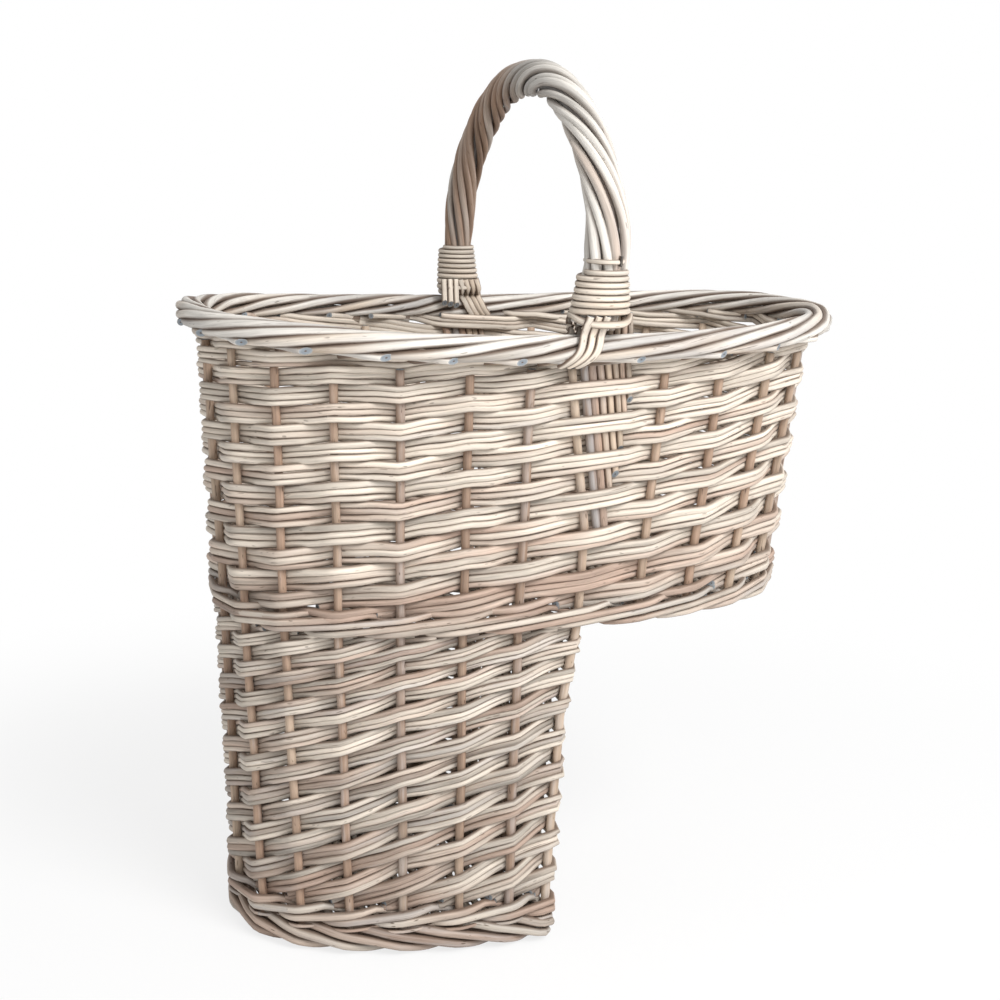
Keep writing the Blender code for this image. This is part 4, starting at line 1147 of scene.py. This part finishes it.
class Whipping:
    """A binding's own sizes, in millimetres at its first loop and at its last one.

    The rise is that of its top above the rim. The half widths and depths reach to the outside of its rod.
    """

    def __init__(self, side, loops, rise, rods, halves, depths, offsets):
        self.side, self.loops, self.top = side, loops, RIM_HEIGHT + rise * MM
        self.rods, self.halves, self.depths, self.offsets = np.array([rods, halves, depths, offsets]) * MM

    def lines(self, hoop):
        """The wound rod's line, the way it faces and its diameter. It steps down behind the handle."""
        turns = np.linspace(0, self.loops, self.loops * 44 + 1)
        whole = np.floor(turns)
        done = (whole + smooth_step((turns - whole - 0.5) * 2)) / self.loops
        early, late = self.rods
        height = self.top - self.loops * (early * done + (late - early) * done ** 2 / 2)
        angle = math.pi + 2 * math.pi * turns
        y = self.side * hoop.leg(height)
        x = hoop.lean(y, height) + np.interp(done, (0, 1), self.offsets)
        rod = early + (late - early) * done
        ends = np.minimum(turns, self.loops - turns)
        tuck = 0.80 + 0.20 * smooth_step(ends / 0.12)
        across = (np.interp(done, (0, 1), self.halves) - rod / 2) * tuck
        deep = (np.interp(done, (0, 1), self.depths) - rod / 2) * tuck
        away = oval(angle, across, deep)
        line = np.column_stack([x, y, height]) + away
        return line, away, rod


class BASKET_OT_bindings(bpy.types.Operator):
    """Whips the binding round each foot of the handle"""

    bl_idname = "basket.bindings"
    bl_label = "Bindings"
    sag = 4.2 * MM
    sag_out = 2.4 * MM
    sag_radius = 2.1 * MM
    band_rise = 59.9 * MM
    band_radius = 1.45 * MM
    band_half_width = 9.6 * MM
    band_half_depth = 13.4 * MM
    knot_radius = 1.2 * MM
    stub_radius = 2.0 * MM
    stub_spacing = 4.3

    def execute(self, context):
        finish = willow("binding_willow", "cream", "straw", weathered=0.4, relief=0.4)
        hoop = Hoop()
        random = np.random.default_rng(99)
        front = Whipping(
            side=-1, loops=7, rise=53.7, rods=(3.35, 4.05), halves=(15.2, 18.6), depths=(13.9, 15.6),
            offsets=(-1.1, 2.1),
        )
        back = Whipping(
            side=1, loops=9, rise=51.2, rods=(2.85, 4.0), halves=(12.5, 15.6), depths=(11.9, 13.9),
            offsets=(-0.7, 1.2),
        )
        for name, whipping in (("front", front), ("back", back)):
            rods = Rods(100 + whipping.side, THICK_SIDES)
            line, away, rod = whipping.lines(hoop)
            wave = np.sin(np.arange(len(line)) * 0.13 + random.uniform(0, 6))
            tint = np.column_stack([-0.01 + 0.04 * wave, 0.1 + 0.3 * wave, 0.3 - 0.3 * wave])
            rods.add(line, rod / 2 * 0.99, tint, facing=away, flat=0.9, slants=(0.8, -0.8), wobble=0.03)
            if name == "front":
                self.add_droop(rods, hoop, whipping)
                self.add_band(rods, hoop, RIM_HEIGHT + self.band_rise)
            else:
                self.add_stubs(rods, hoop)
            rods.piece(f"whipping_{name}", finish, [f"binding_{name}"])
        return {"FINISHED"}

    def add_droop(self, rods, hoop, whipping):
        """The last loop, which sags where it is seen from the front."""
        low = whipping.top - whipping.loops * sum(whipping.rods) / 2
        angle = np.radians(np.linspace(160, 525, 90))
        near = smooth_step(-np.sin(angle))
        height = low + 1.3 * MM - self.sag * near
        y = whipping.side * hoop.leg(height)
        x = hoop.lean(y, height) + whipping.offsets[1] + 0.2 * MM
        across, deep = whipping.halves[1] - 0.3 * MM, whipping.depths[1] - 0.6 * MM
        deep = deep + self.sag_out * near
        away = oval(angle, across, deep)
        line = np.column_stack([x, y, height]) + away * 0.93
        rods.add(line, self.sag_radius, (0.0, 0.3, 0.3), facing=away, wobble=0.03)

    def add_band(self, rods, hoop, height):
        """A thin band above the front binding, which ends in a knot."""
        angle = np.radians(np.linspace(-55, 290, 90))
        z = np.full(len(angle), height)
        y = -hoop.leg(z)
        x = hoop.lean(y, z) - 1.6 * MM
        away = oval(angle, self.band_half_width, self.band_half_depth)
        line = np.column_stack([x, y, z]) + away
        rods.add(line, self.band_radius, (-0.02, 0.2, 0.3), facing=away, wobble=0.02)
        knot = line[0] + np.array([-0.4, -1.0, 0]) * MM
        rise = np.linspace(-2.4, 3.4, 8) * MM
        stub = knot + np.column_stack([0.12 * rise, 0 * rise, rise])
        rods.add(stub, self.knot_radius, (-0.62, 0.6, 0.9), facing=(0, -1, 0))

    def add_stubs(self, rods, hoop):
        """Three roped rods cut off short inside the border at the back foot."""
        for number in range(3):
            height = np.linspace(RIM_HEIGHT + (14.0 - number * 0.8) * MM, RIM_HEIGHT + 30 * MM, 8)
            x = np.full(len(height), hoop.feet_x[1] + (number * self.stub_spacing - 12.6) * MM)
            y = hoop.leg(height) - 11.4 * MM
            line = np.column_stack([x, y, height])
            rods.add(line, self.stub_radius, (0.15, -0.8, 0.0), facing=(0, -1, 0), slants=(0.9, 0.0))


class BASKET_OT_liners(bpy.types.Operator):
    """Sets the rods that line the wall under each foot of the handle"""

    bl_idname = "basket.liners"
    bl_label = "Liners"
    # The heights that the rods start at. Then in millimetres: their diameters, and how far they are from
    # the leg.
    feet = 0.285, 0.300, 0.315, 0.334, 0.345
    diameters = 4.6, 4.4, 4.3, 3.9, 3.8
    places = {"front": (7.5, 12.2, 16.9, 21.1, 25.0), "back": (7.3, 11.6, 15.8)}

    def execute(self, context):
        finish = willow("liner_willow", "straw", "pink", weathered=0.6, knots=0.8)
        hoop = Hoop()
        random = np.random.default_rng(111)
        for side, name in ((-1, "front"), (1, "back")):
            rods = Rods(112 + side, THICK_SIDES)
            leg_x, slope = hoop.feet_x[max(side, 0)], hoop.leans[max(side, 0)]
            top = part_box(f"liner_{name}")[1].z + 17 * MM
            for foot, rod, place in zip(self.feet, self.diameters, self.places[name]):
                height = np.arange(foot, top, STAKE_STEP / 2)
                gathered = smooth_step((height - RIM_HEIGHT - 14 * MM) / (26 * MM))
                x = leg_x + place * MM * (1 - 0.12 * gathered) + slope * np.maximum(RIM_HEIGHT - height, 0)
                x = x + 0.25 * MM * np.sin(height * 90 + random.uniform(0, 6))
                y = hoop.leg(height) + random.normal(0, 0.3 * MM) + 0.3 * MM * np.sin(height * 60 + place)
                line = np.column_stack([x, side * y, height])
                tint = (random.normal(-0.04, 0.07), random.uniform(0.0, 0.9), random.uniform(0.1, 0.8))
                rods.add(line, rod / 2 * MM, tint, facing=(0, side, 0), slants=(1.3, 0.2))
            rods.piece(f"lining_{name}", finish, [f"liner_{name}"])
        return {"FINISHED"}


# A lashing goes round the roll from a steep angle down to its lower edge, in degrees, and slides along the
# border as it goes, in millimetres.
LASHING_START = 52
OUTER_END, INNER_END = -70, -34
LASHING_ANGLES = -70, -44, -5, 52
LASHING_SLIDES = 14.5, 12.0, 5.6, 1.6
LASHING_RISE = 10.2 * MM
LASHING_HALF_WIDTH = 13.1 * MM
LASHING_HALF_HEIGHT = 10.3 * MM


def lashing_line(hoop, side, inside, slide, start):
    """A strip from the handle's foot round the border, to its lower edge, and the way it faces."""
    facing = -side if inside else side
    degrees = np.linspace(LASHING_START, INNER_END if inside else OUTER_END, 22)
    angles = np.radians(degrees)
    foot_x = hoop.feet_x[max(side, 0)] + slide
    x = foot_x + side * np.interp(degrees, LASHING_ANGLES, LASHING_SLIDES) * MM
    y = side * (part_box("top_border")[1].y - BORDER_INSET) + facing * LASHING_HALF_WIDTH * np.cos(angles)
    z = RIM_HEIGHT + LASHING_RISE + LASHING_HALF_HEIGHT * np.sin(angles)
    out = np.column_stack([np.zeros(len(angles)), facing * np.cos(angles), np.sin(angles)])
    top_z = RIM_HEIGHT + np.array([30.5, 26.0, 22.5]) * MM
    top_y = side * hoop.leg(top_z) + facing * start
    top = np.column_stack([foot_x + side * np.array([-1.0, 0.2, 1.2]) * MM, top_y, top_z])
    line = even(np.vstack([top, np.column_stack([x, y, z])]), 1.1 * MM)
    line = np.column_stack([smoothed(part) for part in line.T])
    source = np.vstack([np.tile((0, facing, 0.1), (3, 1)), out])
    return line, between(np.linspace(0, 1, len(line)), np.linspace(0, 1, len(source)), source)


class BASKET_OT_lashings(bpy.types.Operator):
    """Lashes each foot of the handle down over the border"""

    bl_idname = "basket.lashings"
    bl_label = "Lashings"

    def execute(self, context):
        sizes = settings().basket_handle
        finish = willow("lashing_willow", "cream", "straw", weathered=0.3, relief=0.3, groove_shade=0.95)
        hoop = Hoop()
        random = np.random.default_rng(121)
        for side, place in ((-1, "front"), (1, "back")):
            for inside, face in ((False, "outer"), (True, "inner")):
                rods = Rods(122 + side + 3 * inside, THICK_SIDES)
                seen_inside = inside and side > 0
                strips = 4 if seen_inside else 3
                spacing = (3.9 if seen_inside else 5.2) * MM
                middle = (5.6 if seen_inside else 2.4 * side) * MM
                start = (13.6 if side < 0 else 12.3) * MM
                for number in range(strips):
                    slide = middle + (number - (strips - 1) / 2) * spacing
                    line, out = lashing_line(hoop, side, inside, slide, start)
                    tint = (random.normal(-0.03, 0.04), random.uniform(0.1, 0.6), random.uniform(0, 0.5))
                    width = sizes.strip * (0.86 if seen_inside else random.uniform(0.93, 1.03))
                    rods.add(line, width / 2, tint, facing=out, flat=0.6, wobble=0.02)
                name = f"{place}_{face}"
                rods.piece(f"lashing_strips_{name}", finish, [f"lashing_{name}"])
        return {"FINISHED"}


def lamp(name, power, size, place, target):
    light = bpy.data.lights.new(name, "AREA")
    light.energy = power
    light.shape = "DISK"
    light.size = size
    made = bpy.data.objects.new(name, light)
    bpy.context.collection.objects.link(made)
    made.location = place
    made.rotation_euler = (Vector(target) - Vector(place)).to_track_quat("-Z", "Y").to_euler()


class BASKET_OT_studio(bpy.types.Operator):
    """Sets the camera, the pale floor and the soft lamps"""

    bl_idname = "basket.studio"
    bl_label = "Studio"
    floor_reach = 6.0
    floor_corners = (-1, -1), (1, -1), (1, 1), (-1, 1)

    def execute(self, context):
        scene = context.scene
        studio = scene.basket_studio
        yaw, pitch, roll = studio.camera_yaw, studio.camera_pitch, studio.camera_roll
        ahead = Vector((-math.sin(yaw), math.cos(yaw), 0.0)) * math.cos(pitch)
        ahead.z = -math.sin(pitch)
        level = Vector((math.cos(yaw), math.sin(yaw), 0.0))
        upright = level.cross(ahead)
        right = math.cos(roll) * level + math.sin(roll) * upright
        up = math.cos(roll) * upright - math.sin(roll) * level
        view = bpy.data.cameras.new("view")
        view.sensor_width = 36.0
        view.lens = studio.lens
        view.shift_x, view.shift_y = studio.shift
        camera = bpy.data.objects.new("view", view)
        bpy.context.collection.objects.link(camera)
        turned = Matrix((right, up, -ahead)).transposed().to_4x4()
        camera.matrix_world = Matrix.Translation(studio.camera_place) @ turned
        scene.camera = camera

        finish = Finish("pale_floor")
        place = finish.node("ShaderNodeTexCoord", output="Object")
        colour = finish.noise(finish.stretched(place, 2.0, 2.0))
        pale = finish.mix(colour, (0.93, 0.93, 0.93), (0.95, 0.95, 0.95))
        finish.put(finish.shader.inputs["Base Color"], pale)
        finish.put(finish.shader.inputs["Roughness"], 0.9)
        away = finish.node("ShaderNodeVectorMath", {"operation": "LENGTH"}, {0: place}, output="Value")
        camera_ray, glossy_ray, clear_ray = (
            finish.node("ShaderNodeLightPath", output=f"Is {kind} Ray")
            for kind in ("Camera", "Glossy", "Transmission")
        )
        looked_at = camera_ray + glossy_ray + clear_ray
        white = finish.node("ShaderNodeEmission", {}, {"Color": (1.0, 1.0, 1.0), "Strength": 1.0})
        share = looked_at * (0.78 + away.above(0.3, 0.75) * 0.22)
        shown = finish.node("ShaderNodeMixShader", {}, {0: share})
        finish.tree.links.new(finish.shader.outputs[0], shown.socket.node.inputs[1])
        finish.tree.links.new(white.socket, shown.socket.node.inputs[2])
        output = finish.tree.nodes["Material Output"]
        finish.tree.links.new(shown.socket, output.inputs["Surface"])
        mesh = bpy.data.meshes.new("floor")
        corners = [(x * self.floor_reach, y * self.floor_reach, 0) for x, y in self.floor_corners]
        mesh.from_pydata(corners, [], [(0, 1, 2, 3)])
        mesh.materials.append(finish.material)
        floor = bpy.data.objects.new("floor", mesh)
        bpy.context.collection.objects.link(floor)

        world = bpy.data.worlds.new("room")
        scene.world = world
        world.use_nodes = True
        tree = world.node_tree
        light = tree.nodes["Background"]
        light.inputs["Color"].default_value = (1.0, 1.0, 1.0, 1.0)
        path = tree.nodes.new("ShaderNodeLightPath")
        shown = tree.nodes.new("ShaderNodeMath")
        shown.operation = "MAXIMUM"
        tree.links.new(path.outputs["Is Camera Ray"], shown.inputs[0])
        tree.links.new(path.outputs["Is Glossy Ray"], shown.inputs[1])
        strength = tree.nodes.new("ShaderNodeMapRange")
        strength.inputs["To Min"].default_value = studio.world_light
        strength.inputs["To Max"].default_value = 1.0
        tree.links.new(shown.outputs[0], strength.inputs["Value"])
        tree.links.new(strength.outputs[0], light.inputs["Strength"])

        middle = (0.0, 0.0, 0.25)
        lamp("key", studio.key_power, 1.2, (0.55, -1.6, 1.7), middle)
        lamp("fill", studio.fill_power, 1.4, (-0.5, -2.0, 1.0), middle)

        scene.view_settings.view_transform = "Standard"
        return {"FINISHED"}


class BASKET_PT_panel(bpy.types.Panel):
    bl_label = "Stair Basket"
    bl_idname = "BASKET_PT_panel"
    bl_space_type = "VIEW_3D"
    bl_region_type = "UI"
    bl_category = "Basket"

    def draw(self, context):
        for group in SETTINGS:
            box = self.layout.box()
            values = getattr(context.scene, group)
            for name in values.bl_rna.properties.keys():
                if name not in ("rna_type", "name"):
                    box.prop(values, name)
        for operator in OPERATORS:
            self.layout.operator(operator.bl_idname)


SETTINGS = {
    "basket_weave": WeaveSizes,
    "basket_wales": WaleSizes,
    "basket_border": BorderSizes,
    "basket_handle": HandleSizes,
    "basket_colours": WillowColours,
    "basket_studio": StudioSettings,
}
OPERATORS = (
    BASKET_OT_studio,
    BASKET_OT_stakes,
    BASKET_OT_foot,
    BASKET_OT_wales,
    BASKET_OT_floors,
    BASKET_OT_lower_siding,
    BASKET_OT_upper_siding,
    BASKET_OT_border,
    BASKET_OT_handle,
    BASKET_OT_liners,
    BASKET_OT_bindings,
    BASKET_OT_lashings,
)


def register():
    for group in (*SETTINGS.values(), *OPERATORS, BASKET_PT_panel):
        bpy.utils.register_class(group)
    for name, group in SETTINGS.items():
        setattr(bpy.types.Scene, name, PointerProperty(type=group))


def unregister():
    for name in SETTINGS:
        delattr(bpy.types.Scene, name)
    for group in (BASKET_PT_panel, *reversed(OPERATORS), *reversed(SETTINGS.values())):
        bpy.utils.unregister_class(group)


def main():
    register()
    for operator in OPERATORS:
        family, name = operator.bl_idname.split(".")
        getattr(getattr(bpy.ops, family), name)()


if __name__ == "__main__":
    main()
